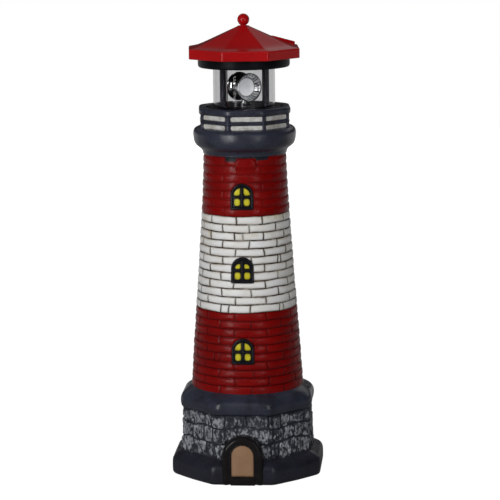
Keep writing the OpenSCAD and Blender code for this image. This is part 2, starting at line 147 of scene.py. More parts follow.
def oct_r(a, rho, al, yaw=0.0):
    """Radius of an octagon with flats at the front: apothem a, corners rounded by rho."""
    a, rho, al = np.broadcast_arrays(np.asarray(a, float), np.asarray(rho, float), np.asarray(al, float))
    ph = (al - yaw + 22.5) % 45 - 22.5
    ph = np.abs(ph) * DEG
    cx = a - rho
    cy = cx * math.tan(22.5 * DEG)
    flat = a / np.cos(ph)
    cu = cx * np.cos(ph) + cy * np.sin(ph)
    disc = np.maximum(cu * cu - (cx * cx + cy * cy) + rho * rho, 0)
    arc = cu + np.sqrt(disc)
    return np.where(a * np.tan(ph) <= cy, flat, arc)


def yaw_to(ob, deg):
    ob.data.transform(Matrix.Rotation(deg * DEG, 4, "Z"))
    return ob


def support(prof, d=0.22, turn=12.0):
    """Adds points close to the corners of a profile, so that its long runs shade flat."""
    p = np.asarray(prof, float)
    out = [p[0]]
    for i in range(len(p) - 1):
        a, b = p[i], p[i + 1]
        v = b[[0, -1]] - a[[0, -1]]
        L = math.hypot(*v)
        if L > 5 * d:
            out += [a + (b - a) * (d / L), b + (a - b) * (d / L)]
        out.append(b)
    return np.array(out)


def revolve(name, prof, nu=160, yaw=0.0, centre=(0, 0), closed=True, sharp=35, **kw):
    """A closed solid of revolution from a profile of (r, z) in mm. Points with r = 0 become caps."""
    prof = [tuple(p) for p in support(prof)]
    al = np.linspace(0, 360, nu, endpoint=False)
    caps = prof[0][0] <= 1e-6 and prof[-1][0] <= 1e-6
    if caps:
        prof = prof[1:-1]
    rows = np.stack([polar(p[0], al, p[1]) for p in prof])
    rows[..., 0] += centre[0]
    rows[..., 1] += centre[1]
    return ring(rows, name, wrap_v=not caps, caps=caps, sharp=sharp, **kw)


def smooth_prof(pts, n=4):
    """A Catmull-Rom curve through the points, n steps a span."""
    p = np.asarray(pts, float)
    p = np.vstack([2 * p[0] - p[1], p, 2 * p[-1] - p[-2]])
    out = []
    for i in range(1, len(p) - 2):
        for k in range(n):
            t = k / n
            out.append(0.5 * ((2 * p[i]) + (-p[i - 1] + p[i + 1]) * t + (2 * p[i - 1] - 5 * p[i] + 4 * p[i + 1] - p[i + 2]) * t**2
                              + (-p[i - 1] + 3 * p[i] - 3 * p[i + 1] + p[i + 2]) * t**3))
    out.append(p[-2])
    return np.array(out)


def oct_solid(name, prof, inner, nu=400, yaw=0.0, bump=None, attrs=None, sharp=40, **kw):
    """Outer profile of (a, rho, z) rows and an inner profile of (r, z) rows, joined into one closed ring."""
    al = np.linspace(0, 360, nu, endpoint=False)
    rows = []
    for a, rho, z in prof:
        r = oct_r(a, rho, al, yaw)
        if bump is not None:
            r = r + bump(r, al, z)
        rows.append(polar(r, al, z))
    for r, z in inner:
        rows.append(polar(r, al, z))
    return ring(np.stack(rows), name, sharp=sharp, **kw)


def finish_piece(ob, body, mat, replaces=()):
    ob.data.materials.clear()
    ob.data.materials.append(mat)
    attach(ob, body)
    if replaces:
        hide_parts(*replaces)
    return ob


def weighted(ob):
    m = ob.modifiers.new("wn", "WEIGHTED_NORMAL")
    m.keep_sharp = True
    return ob


# ------------------------------------------------------------------ materials
class Mat:
    """A small builder for node materials."""

    def __init__(self, name):
        self.m = bpy.data.materials.new(name)
        self.m.use_nodes = True
        self.nt = self.m.node_tree
        self.nt.nodes.clear()
        self.out = self.nt.nodes.new("ShaderNodeOutputMaterial")
        self.p = self.nt.nodes.new("ShaderNodeBsdfPrincipled")
        self.nt.links.new(self.p.outputs[0], self.out.inputs[0])
        self.tc = self.nt.nodes.new("ShaderNodeTexCoord")

    def n(self, kind, **props):
        node = self.nt.nodes.new("ShaderNode" + kind)
        for k, v in props.items():
            setattr(node, k, v)
        return node

    def link(self, a, b):
        self.nt.links.new(a, b)

    def mapped(self, scale=(1, 1, 1), rot=(0, 0, 0)):
        mp = self.n("Mapping")
        mp.inputs["Scale"].default_value = scale
        mp.inputs["Rotation"].default_value = rot
        self.link(self.tc.outputs["Object"], mp.inputs["Vector"])
        return mp.outputs[0]

    def noise(self, scale, detail=3, rough=0.55, vec=None, dist=0.0):
        t = self.n("TexNoise")
        t.inputs["Scale"].default_value = scale
        t.inputs["Detail"].default_value = detail
        t.inputs["Roughness"].default_value = rough
        t.inputs["Distortion"].default_value = dist
        self.link(vec or self.tc.outputs["Object"], t.inputs["Vector"])
        return t.outputs["Fac"]

    def voronoi(self, scale, vec=None, feature="F1"):
        t = self.n("TexVoronoi", feature=feature)
        t.inputs["Scale"].default_value = scale
        self.link(vec or self.tc.outputs["Object"], t.inputs["Vector"])
        return t.outputs["Distance"]

    def ramp(self, fac, stops, interp="LINEAR"):
        r = self.n("ValToRGB")
        r.color_ramp.interpolation = interp
        e = r.color_ramp.elements
        while len(e) > 1:
            e.remove(e[0])
        e[0].position, e[0].color = stops[0][0], self.c4(stops[0][1])
        for pos, col in stops[1:]:
            k = e.new(pos)
            k.color = self.c4(col)
        self.link(fac, r.inputs[0])
        return r.outputs[0]

    @staticmethod
    def c4(c):
        return (c, c, c, 1) if isinstance(c, (int, float)) else tuple(c) + ((1,) if len(c) == 3 else ())

    def attr(self, name):
        a = self.n("Attribute", attribute_name=name)
        return a.outputs["Fac"]

    def math(self, op, a, b=None, clamp=False):
        m = self.n("Math", operation=op, use_clamp=clamp)
        for i, v in enumerate((a, b)):
            if v is None:
                continue
            if isinstance(v, (int, float)):
                m.inputs[i].default_value = v
            else:
                self.link(v, m.inputs[i])
        return m.outputs[0]

    def mix(self, fac, a, b, blend="MIX"):
        m = self.n("Mix", data_type="RGBA", blend_type=blend)
        for sock, v in ((m.inputs[0], fac), (m.inputs[6], a), (m.inputs[7], b)):
            if isinstance(v, (int, float)):
                sock.default_value = v if sock == m.inputs[0] else (v, v, v, 1)
            elif isinstance(v, tuple):
                sock.default_value = self.c4(v)
            else:
                self.link(v, sock)
        return m.outputs[2]

    def rng(self, fac, lo, hi, flo=0.0, fhi=1.0):
        m = self.n("MapRange")
        m.inputs["From Min"].default_value = flo
        m.inputs["From Max"].default_value = fhi
        m.inputs["To Min"].default_value = lo
        m.inputs["To Max"].default_value = hi
        self.link(fac, m.inputs["Value"])
        return m.outputs[0]

    def colour(self, c):
        if isinstance(c, tuple):
            self.p.inputs["Base Color"].default_value = self.c4(c)
        else:
            self.link(c, self.p.inputs["Base Color"])

    def rough(self, v):
        if isinstance(v, (int, float)):
            self.p.inputs["Roughness"].default_value = v
        else:
            self.link(v, self.p.inputs["Roughness"])

    def bump(self, height, dist=0.0002, strength=1.0, prev=None):
        b = self.n("Bump")
        b.inputs["Strength"].default_value = strength
        b.inputs["Distance"].default_value = dist
        self.link(height, b.inputs["Height"])
        if prev is not None:
            self.link(prev, b.inputs["Normal"])
        self.link(b.outputs[0], self.p.inputs["Normal"])
        return b.outputs[0]

    def set(self, **kw):
        for k, v in kw.items():
            self.p.inputs[k.replace("_", " ")].default_value = v
        return self


def spec(M, level, coat=0.0, coat_rough=0.1, ior=1.5):
    M.p.inputs["Specular IOR Level"].default_value = level
    M.p.inputs["IOR"].default_value = ior
    M.p.inputs["Coat Weight"].default_value = coat
    M.p.inputs["Coat Roughness"].default_value = coat_rough


SLATE = (0.027, 0.030, 0.049)
SLATE_D = (0.0145, 0.0155, 0.023)
RED = (0.205, 0.0022, 0.0020)
RED_D = (0.045, 0.0011, 0.001)
WHITE = (0.835, 0.83, 0.82)


def slate_colour(M):
    f = M.noise(55, 4, 0.6)
    return M.ramp(f, [(0.3, SLATE_D), (0.52, SLATE), (0.75, (0.033, 0.036, 0.055))])


def red_colour(M):
    big = M.noise(38, 3, 0.6)
    streak = M.noise(16, 4, 0.6, M.mapped((1, 1, 9)))
    base = M.ramp(big, [(0.25, (0.162, 0.0015, 0.0013)), (0.5, RED), (0.8, (0.245, 0.0030, 0.0026))])
    return M.mix(M.rng(streak, 0, 0.45, 0.45, 0.75), base, (0.115, 0.0015, 0.0014))


def mat_red(with_slate):
    M = Mat("paint_red_slate" if with_slate else "paint_red")
    g = M.attr("groove")
    col = red_colour(M)
    col = M.mix(M.math("MULTIPLY", g, 0.4 if with_slate else 0.9), col, RED_D)
    if with_slate:
        s = M.attr("slate")
        # painted shade: the slate paint under the collar is mixed three quarters of the way to near black, for the
        # shade under the collar's overhang
        col = M.mix(s, col, M.mix(0.75, slate_colour(M), (0.007, 0.0095, 0.0098)))
    M.colour(col)
    rn = M.noise(120, 3, 0.6)
    rgh = M.rng(rn, 0.24, 0.42, 0.3, 0.7)
    M.rough(M.math("ADD", rgh, M.math("MULTIPLY", M.attr("slate"), 0.35)) if with_slate else rgh)
    b1 = M.bump(M.noise(700, 3, 0.6), 0.00006, 0.6)
    M.bump(M.noise(150, 3, 0.55, M.mapped((1, 1, 2.4))), 0.0005, 0.55, b1)
    spec(M, 0.12, 0.09, 0.14)
    return M.m


def mat_white():
    M = Mat("paint_white")
    g = M.attr("groove")
    e = M.attr("edge")
    tone = M.noise(45, 4, 0.6)
    col = M.ramp(tone, [(0.28, (0.73, 0.715, 0.67)), (0.5, WHITE), (0.72, (0.87, 0.88, 0.89))])
    stain = M.noise(26, 4, 0.7)
    col = M.mix(M.math("MULTIPLY", M.rng(stain, 0, 1, 0.40, 0.66), M.math("MULTIPLY", e, 0.85)), col, (0.46, 0.38, 0.26))
    wash = M.math("MULTIPLY", M.attr("stain"), M.rng(M.noise(150, 4, 0.7), 0.15, 0.85, 0.35, 0.62))
    col = M.mix(wash, col, (0.50, 0.41, 0.21))
    gn = M.noise(90, 3, 0.7)
    amount = M.math("MULTIPLY", g, M.rng(gn, 0.62, 1.6, 0.32, 0.62), True)
    grout = M.ramp(M.noise(30, 2), [(0.35, (0.012, 0.008, 0.006)), (0.65, (0.055, 0.036, 0.020))])
    M.colour(M.mix(amount, col, grout))
    M.rough(M.rng(M.noise(120, 3), 0.3, 0.5, 0.3, 0.7))
    b1 = M.bump(M.noise(600, 3, 0.6), 0.00012, 0.6)
    M.bump(M.noise(160, 3, 0.55), 0.0005, 0.5, b1)
    spec(M, 0.3, 0.1, 0.2)
    return M.m


def mat_slate(name="paint_slate", sp=0.5, rough=(0.24, 0.36), dark=False):
    M = Mat(name)
    col = slate_colour(M)
    if dark:
        col = M.mix(0.55, col, (0.0095, 0.0092, 0.0105))
    M.colour(col)
    M.rough(M.rng(M.noise(90, 3, 0.6), rough[0], rough[1], 0.3, 0.7))
    b1 = M.bump(M.noise(500, 3, 0.6), 0.00005, 0.5)
    M.bump(M.noise(70, 3, 0.5), 0.0008, 0.5, b1)
    spec(M, sp, 0.1, 0.2)
    return M.m


def mat_stone():
    M = Mat("cast_stone")
    h = M.attr("height")
    tone = M.noise(60, 4, 0.6)
    base = M.ramp(tone, [(0.3, (0.013, 0.014, 0.020)), (0.6, (0.032, 0.034, 0.045)), (0.8, (0.055, 0.058, 0.072))])
    brush = M.noise(430, 4, 0.65, M.mapped((1, 1, 0.5)))
    dry = M.math("ADD", h, M.rng(brush, -0.38, 0.38, 0.3, 0.7))
    pale = M.ramp(M.noise(80, 3), [(0.3, (0.21, 0.22, 0.25)), (0.7, (0.39, 0.40, 0.43))])
    M.colour(M.mix(M.rng(dry, 0.0, 1.0, 0.50, 0.88), base, pale))
    M.rough(M.rng(M.noise(150, 3), 0.45, 0.7, 0.3, 0.7))
    b1 = M.bump(M.noise(900, 3, 0.6), 0.00025, 0.8)
    M.bump(M.noise(480, 4, 0.6, M.mapped((1, 1, 0.5))), 0.0006, 0.8, b1)
    spec(M, 0.22)
    return M.m


def mat_simple(name, c0, c1, scale=80, rough=(0.25, 0.4), sp=0.4, bump=0.0001, bscale=500, coat=0.0, metal=0.0, edge=None, detail=3):
    M = Mat(name)
    col = M.ramp(M.noise(scale, detail, 0.6), [(0.3, c0), (0.7, c1)])
    if edge:
        col = M.mix(M.attr("edge"), col, edge)
    M.colour(col)
    M.rough(M.rng(M.noise(scale * 1.7, 3, 0.6), rough[0], rough[1], 0.3, 0.7))
    M.bump(M.noise(bscale, 3, 0.6), bump, 0.7)
    spec(M, sp, coat, 0.12)
    M.p.inputs["Metallic"].default_value = metal
    return M.m


def mat_clear():
    M = Mat("clear_tube_plastic")
    M.colour(M.ramp(M.noise(30, 2), [(0.3, (0.895, 0.90, 0.905)), (0.7, (0.905, 0.91, 0.915))]))
    M.rough(M.rng(M.noise(60, 3), 0.0, 0.03, 0.4, 0.7))
    M.p.inputs["Transmission Weight"].default_value = 1.0
    M.p.inputs["IOR"].default_value = 1.16
    M.p.inputs["Specular IOR Level"].default_value = 0.2
    # light falls through the wall on to what stands inside
    lp_ = M.n("LightPath")
    tr = M.n("BsdfTransparent")
    tr.inputs["Color"].default_value = (0.86, 0.865, 0.87, 1)
    mx = M.n("MixShader")
    M.link(lp_.outputs["Is Shadow Ray"], mx.inputs[0])
    M.link(M.p.outputs[0], mx.inputs[1])
    M.link(tr.outputs[0], mx.inputs[2])
    M.link(mx.outputs[0], M.out.inputs[0])
    return M.m


def mat_solar():
    M = Mat("solar_cells")
    v = M.mapped((1, 1, 1), (0, 0, -51 * DEG))
    sep = M.n("SeparateXYZ")
    M.link(v, sep.inputs[0])
    fine = M.n("TexWave", wave_type="BANDS", bands_direction="Y")
    fine.inputs["Scale"].default_value = 330
    M.link(v, fine.inputs["Vector"])
    cells = M.n("TexWave", wave_type="BANDS", bands_direction="Y")
    cells.inputs["Scale"].default_value = 52
    M.link(v, cells.inputs["Vector"])
    base = M.ramp(M.noise(160, 3), [(0.3, (0.006, 0.010, 0.035)), (0.7, (0.012, 0.022, 0.075))])
    col = M.mix(M.rng(fine.outputs["Fac"], 0, 0.35, 0.9, 1.0), base, (0.12, 0.14, 0.18))
    col = M.mix(M.rng(cells.outputs["Fac"], 0, 0.8, 0.965, 1.0), col, (0.25, 0.26, 0.28))
    M.colour(col)
    M.rough(0.16)
    M.bump(M.noise(120, 2), 0.0002, 0.2)
    spec(M, 0.5, 0.6, 0.05)
    return M.m


RED_M = mat_red(False)
REDS_M = mat_red(True)
WHITE_M = mat_white()
SLATE_M = mat_slate()
PLINTH_M = mat_slate("paint_slate_foot", 0.32, (0.24, 0.40), True)
STONE_M = mat_stone()
FRAME_M = mat_simple("paint_black", (0.006, 0.006, 0.008), (0.012, 0.012, 0.016), 90, (0.14, 0.24), 0.22, 0.0002, 260)
PANE_M = mat_simple("paint_yellow", (0.56, 0.48, 0.022), (0.73, 0.66, 0.045), 130, (0.25, 0.4), 0.14, 0.0003, 300, edge=(0.05, 0.04, 0.005))
DOOR_M = mat_simple("paint_tan", (0.275, 0.16, 0.092), (0.34, 0.203, 0.12), 60, (0.4, 0.55), 0.2, 0.0004, 240, edge=(0.035, 0.017, 0.006))
DFRAME_M = mat_simple("paint_door_black", (0.006, 0.0050, 0.005), (0.012, 0.0105, 0.0105), 90, (0.14, 0.26), 0.26, 0.0003, 200)
PANEL_M = mat_simple("paint_panel_white", (0.40, 0.385, 0.35), (0.70, 0.70, 0.69), 110, (0.3, 0.45), 0.3, 0.0003, 260, edge=(0.20, 0.19, 0.17))
BLACK_P = mat_simple("plastic_black", (0.004, 0.004, 0.006), (0.0065, 0.0065, 0.0095), 60, (0.34, 0.44), 0.12, 0.00003, 800)
POST_P = mat_simple("plastic_black_post", (0.014, 0.014, 0.019), (0.020, 0.020, 0.027), 60, (0.30, 0.40), 0.25, 0.00003, 800)
GREY_P = mat_simple("plastic_grey", (0.030, 0.030, 0.034), (0.042, 0.042, 0.046), 60, (0.42, 0.55), 0.4, 0.00015, 1500)
ROOF_M = mat_simple("plastic_red", (0.37, 0.0030, 0.0042), (0.43, 0.0042, 0.0058), 30, (0.18, 0.26), 0.30, 0.00003, 500, 0.15)
CLEAR_M = mat_clear()
SOLAR_M = mat_solar()
CHROME_M = mat_simple("chrome_plate", (0.74, 0.75, 0.77), (0.82, 0.83, 0.84), 90, (0.05, 0.11), 0.5, 0.00003, 500, metal=1.0)


def mat_dish():
    """Bright plating whose flat floor is satin white and glows faintly, a painted light, though the dish is no lamp.
    """
    M = Mat("chrome_dish")
    s = M.attr("satin_and_glow")
    col = M.ramp(M.noise(90, 3, 0.6), [(0.3, (0.74, 0.75, 0.77)), (0.7, (0.82, 0.83, 0.84))])
    col = M.mix(s, col, (0.84, 0.845, 0.87))
    # painted light: the front dish's flat floor glows faintly, though it is no lamp
    M.p.inputs["Emission Color"].default_value = (1.0, 1.0, 1.02, 1)
    M.link(M.rng(s, 0.0, 0.18, 0.8, 1.0), M.p.inputs["Emission Strength"])
    # painted reflection: dark lines along the flute creases and the rim darken the plating
    M.colour(M.mix(M.math("MULTIPLY", M.attr("line"), 0.95), col, (0.03, 0.03, 0.035)))
    M.rough(M.math("ADD", M.rng(M.noise(150, 3, 0.6), 0.05, 0.11, 0.3, 0.7), M.math("MULTIPLY", s, 0.3)))
    M.link(M.math("SUBTRACT", 1.0, M.math("MULTIPLY", s, 0.97)), M.p.inputs["Metallic"])
    M.bump(M.noise(500, 3, 0.6), 0.00003, 0.7)
    spec(M, 0.5)
    return M.m


DISH_M = mat_dish()
STEEL_M = mat_simple("steel_plate", (0.48, 0.48, 0.50), (0.60, 0.60, 0.62), 200, (0.22, 0.36), 0.5, 0.00006, 900, metal=1.0)
BRASS_M = mat_simple("brass_turned", (0.55, 0.38, 0.14), (0.68, 0.49, 0.20), 200, (0.22, 0.34), 0.5, 0.00005, 1200, metal=1.0)
COPPER_M = mat_simple("copper_wound", (0.40, 0.15, 0.06), (0.60, 0.26, 0.11), 300, (0.3, 0.45), 0.5, 0.0002, 1400, metal=1.0)
NYLON_M = mat_simple("nylon_natural", (0.66, 0.63, 0.54), (0.74, 0.72, 0.64), 100, (0.38, 0.5), 0.4, 0.00008, 700)
RUBBER_M = mat_simple("rubber_ring", (0.012, 0.012, 0.012), (0.022, 0.022, 0.022), 120, (0.6, 0.75), 0.3, 0.0001, 900)
BOARD_M = mat_simple("board_mask", (0.010, 0.075, 0.028), (0.018, 0.11, 0.045), 500, (0.3, 0.45), 0.5, 0.00005, 1500)
WIRE_M = mat_simple("wire_red", (0.020, 0.0018, 0.0018), (0.032, 0.0022, 0.0022), 200, (0.35, 0.5), 0.4, 0.00005, 900)
CELL_M = mat_simple("cell_sleeve", (0.02, 0.15, 0.05), (0.03, 0.21, 0.08), 60, (0.15, 0.28), 0.5, 0.00006, 300)
LED_M = mat_simple("lamp_resin", (0.75, 0.68, 0.36), (0.86, 0.80, 0.50), 200, (0.08, 0.16), 0.5, 0.00004, 400)

SLOT_MAT = {
    "rubber_black": RUBBER_M, "black_plastic": BLACK_P, "grey_plastic": GREY_P, "clear_plastic": CLEAR_M,
    "red_plastic": ROOF_M, "solar_cell": SOLAR_M, "steel": STEEL_M, "brass": BRASS_M,
    "copper_windings": COPPER_M, "nylon": NYLON_M, "chromed_plastic": CHROME_M, "led_resin": LED_M,
    "board_green": BOARD_M, "red_insulation": WIRE_M, "battery_sleeve": CELL_M, "casting": RED_M,
}
for sub in frame["record"]["subparts"]:
    o = NODES[sub["node"]]
    o.data.materials.clear()
    o.data.materials.append(SLOT_MAT[sub["material_slot"]])

# ------------------------------------------------------------------ the shaft
SHAFT = np.array([[78.5, 52.8], [90, 52.2], [129, 49.6], [187, 45.2], [230, 42.2], [267, 39.9], [301, 38.5], [310, 38.4]])


def shaft_r(z):
    return np.interp(z, SHAFT[:, 0], SHAFT[:, 1])


FR = np.array([0, .045, .10, .18, .31, .5, .69, .82, .90, .955])
NU = 512
AL = np.linspace(0, 360, NU, endpoint=False) - 180.0


def course_line(z, k):
    """The wavering height of course line k round the tower."""
    c, s = np.cos(AL * DEG), np.sin(AL * DEG)
    w = vn(c * 2.6 + 9, s * 2.6 + 4, k * 3.71, 5) * 0.42 + vn(c * 7 + 2, s * 7 + 8, k * 1.9, 6) * 0.16
    return z + w


EXTRA = {3: [1.0], 6: [51.6], 12: [-16.3, 51.3], 18: [-33.0], 9: [150.0], 15: [118.0], -2: [-120.0], 4: [-140.0]}


def joints_of(n):
    """Angles of the upright joints of course n, counted down from the top of the white band."""
    base = 27.0 if n % 2 else 10.2
    rs = np.random.RandomState(1000 + n)
    out = [((base + 36 * k + rs.uniform(-1.6, 1.6) + 180) % 360 - 180, rs.uniform(-0.05, 0.05)) for k in range(10)]
    out += [(a, rs.uniform(-0.05, 0.05)) for a in EXTRA.get(n, [])]
    return out


def band(name, lines, nums, depth, w, jdepth, bulge, mat, hood=False, slate=False, stain=False):
    """One painted band of brick courses. lines are the course lines from below, nums the course numbers between them."""
    rows, groove, edge, sl, st = [], [], [], [], []
    zl = [course_line(z, round(z * 10)) for z in lines]
    for c, n in enumerate(nums):
        lo, hi = zl[c], zl[c + 1]
        h = hi - lo
        fr = FR if c < len(nums) - 1 else np.append(FR, 1.0)
        rs = np.random.RandomState(50 + n)
        js = joints_of(n)
        ja = np.array([j[0] for j in js])
        jt = np.array([j[1] for j in js])
        order = np.argsort(ja)
        ja, jt = ja[order], jt[order]
        off = rs.uniform(-0.20, 0.20, len(ja))
        til = rs.uniform(-0.16, 0.16, len(ja))
        for f in fr:
            z = lo + f * h
            r0 = shaft_r(z)
            dz = np.minimum(f, 1 - f) * h
            mid = (f - 0.5) * h
            d = (AL[:, None] - ja[None, :] - jt[None, :] * mid[:, None] * 4 + 180) % 360 - 180
            arc = d * DEG * r0[:, None]
            arc = arc + 0.25 * vn(z[:, None] * 0.5, n * 3.3, np.arange(len(ja))[None, :] * 7.7, 3)
            dj = np.abs(arc).min(1)
            left = np.where(arc >= 0, arc, 1e9)
            brick = left.argmin(1)
            dd = np.minimum(dz, dj * 1.15)
            prof = -depth * np.exp(-(dz / w) ** 2) - jdepth * np.exp(-(dj / (w * 0.62)) ** 2) * sstep(0.0, 1.2, dz + 0.4)
            prof += bulge * (1 - (2 * f - 1) ** 2)
            prof += (off[brick] + til[brick] * (2 * f - 1)) * sstep(0.2, 1.6, dd)
            c_, s_ = np.cos(AL * DEG), np.sin(AL * DEG)
            prof += 0.16 * fbm(c_ * r0 / 7, s_ * r0 / 7, z / 5, 21, 3) + 0.05 * fbm(c_ * r0 / 1.9, s_ * r0 / 1.9, z / 1.5, 31, 2)
            for zw in (254.5, 186.5, 111.0):
                xw = np.abs(AL * DEG * r0)
                inside = (1 - sstep(9.6, 10.6, xw)) * sstep(zw - 0.2, zw + 0.6, z) * (1 - sstep(zw + 23.0, zw + 24.4, z + np.maximum(xw - 2, 0) ** 2 * 0.10))
                prof = prof * (1 - inside) - 1.0 * inside
            if hood:
                x = (AL - 5.3) * DEG * r0
                q = (np.abs(x) / 9.0) ** 5 + (np.maximum(z - 295.6, 0) / 5.6) ** 3
                hm = sstep(1.15, 0.86, q) * sstep(290.5, 294.5, z)
                prof = prof * (1 - 0.85 * hm) + 1.7 * hm
            rows.append(polar(r0 + prof, AL, z))
            gw = 0.60 if stain else 0.55
            g = np.maximum(np.exp(-(dz / gw) ** 2), np.exp(-(dj / (gw + 0.04)) ** 2))
            if stain:
                sm = np.zeros(NU)
                for a_, z_, wa, wz, k_ in ((55, 245.5, 24, 2.6, 1.0), (44, 247.5, 10, 2.0, 0.6), (15, 231.5, 7, 3.2, 0.7), (-46, 229.0, 6, 6.0, 0.8), (-60, 243.0, 9, 3.0, 0.6),
                                           (17, 188.5, 4, 1.5, 0.7), (140, 240.0, 14, 4.0, 0.8), (-130, 215.0, 9, 5.0, 0.6), (-20, 240.5, 4, 1.5, 0.4)):
                    sm = sm + k_ * np.exp(-(((AL - a_ + 180) % 360 - 180) / wa) ** 2 - ((z - z_) / wz) ** 2)
                st.append(np.minimum(sm, 1.0))
            if hood:
                g = g * (1 - 0.95 * hm) * (1 - 0.6 * sstep(1.6, 1.0, q) * sstep(289.0, 292.0, z))
            groove.append(g)
            edge.append(np.exp(-(dd / 1.7) ** 2))
            c_, s_ = np.cos(AL * DEG), np.sin(AL * DEG)
            zs = 303.4 + 1.1 * vn(c_ * 6, s_ * 6, 3.3, 8)
            for a0, a1, zz in ((-24, -7.5, 298.8), (-7.5, 19.5, 301.8), (19.5, 39, 299.6), (39, 62, 303.4), (-75, -24, 303.8),
                               (80, 98, 300.6), (130, 150, 299.8), (-160, -141, 300.9)):
                k = sstep(a0 - 1.2, a0 + 1.2, AL) * (1 - sstep(a1 - 1.2, a1 + 1.2, AL))
                zs = zs * (1 - k) + (zz + 0.35 * vn(c_ * 14, s_ * 14, 1.3, 9)) * k
            sl.append(sstep(-0.35, 0.35, z - zs))
    top, bot = rows[-1], rows[0]
    zt, zb = float(np.mean(zl[-1])), float(np.mean(zl[0]))
    inner = []
    for t in (0, 0.33, 0.67, 1):
        zz = zl[-1] * (1 - t) + zl[0] * t
        inner.append(polar(shaft_r(zz) - 5.0, AL, zz))
    n0 = len(inner)
    rows = np.stack(rows + inner)
    pad = np.zeros((n0, NU))
    at = {"groove": np.concatenate([np.stack(groove), pad]), "edge": np.concatenate([np.stack(edge), pad])}
    if slate:
        at["slate"] = np.concatenate([np.stack(sl), pad])
    if stain:
        at["stain"] = np.concatenate([np.stack(st), pad])
    ob = ring(rows, name, attrs=at, sharp=75)
    return finish_piece(ob, "tower", mat, ("tower_shell",))


low_lines = [158.6 - 7.62 * k for k in range(10, -1, -1)]
low_lines[0] = 80.5
white_lines = [158.6 + 7.458 * k for k in range(12)] + [248.1]
up_lines = [248.1 + 7.65 * k for k in range(8)] + [309.3]
band("shaft_lower_red", low_lines, [22 - k for k in range(10)], 0.75, 0.95, 0.62, 0.26, RED_M)
band("shaft_white", white_lines, [12 - k for k in range(12)], 0.75, 0.8, 0.7, 0.22, WHITE_M, stain=True)
band("shaft_upper_red", up_lines, [0 - k for k in range(8)], 0.38, 1.2, 0.16, 0.22, REDS_M, hood=True, slate=True)

# ------------------------------------------------------------------ plinth, moulding and stone wall
def soft_bump(amp, sc, seed):
    def f(r, al, z):
        c, s = np.cos(al * DEG), np.sin(al * DEG)
        return amp * fbm(c * r / sc, s * r / sc, z / sc, seed, 3)
    return f


plinth_prof = smooth_prof([(64.6, 6.0, 0.0), (67.6, 7.0, 0.5), (69.2, 7.8, 1.8), (69.9, 8.4, 3.9), (70.05, 8.5, 9.0), (69.9, 8.5, 13.6),
                           (69.3, 8.5, 16.3), (67.9, 8.4, 18.6), (65.6, 8.2, 20.4), (63.0, 8.0, 21.7), (60.8, 7.8, 22.8), (59.2, 7.5, 24.0)], 3)
al_p = np.linspace(0, 360, 480, endpoint=False)
rows_p = []
for a, rho, z in plinth_prof:
    r = oct_r(a, rho, al_p)
    r = r + soft_bump(0.22, 16, 41)(r, al_p, z) * (1 if z > 0.3 else 0)
    # the diagonal faces swell a little
    ph_ = np.abs((al_p + 22.5) % 45 - 22.5) / 22.5
    r = r + 1.3 * (1 - ph_ ** 2) * (((al_p + 22.5) % 90) > 45) * sstep(21, 12, z)
    rows_p.append(polar(r, al_p, max(z, 0.0)))
for r, z in ((56, 24), (56, 19), (63.5, 14), (63.5, 5)):
    rows_p.append(polar(r, al_p, z))
plinth = ring(np.stack(rows_p), "plinth", wrap_v=False, caps=True, sharp=50)
finish_piece(plinth, "tower", PLINTH_M, ("tower_shell",))

mould_prof = smooth_prof([(56.4, 8.0, 64.0), (58.8, 8.6, 64.1), (60.3, 9.8, 64.8), (61.3, 11.5, 66.5), (61.8, 13.5, 69.0), (61.9, 15.5, 71.6),
                          (61.4, 17.0, 74.3), (60.2, 18.0, 76.7), (58.4, 19.0, 78.6), (56.5, 21.0, 80.0), (54.7, 30.0, 81.2), (53.3, 42.0, 82.2), (52.4, 51.0, 83.2)], 3)
mould = oct_solid("moulding", mould_prof, [(46.8, 83.2), (46.8, 73), (55, 64.0)], 480, bump=soft_bump(0.3, 14, 43))
finish_piece(mould, "tower", SLATE_M, ("tower_shell",))


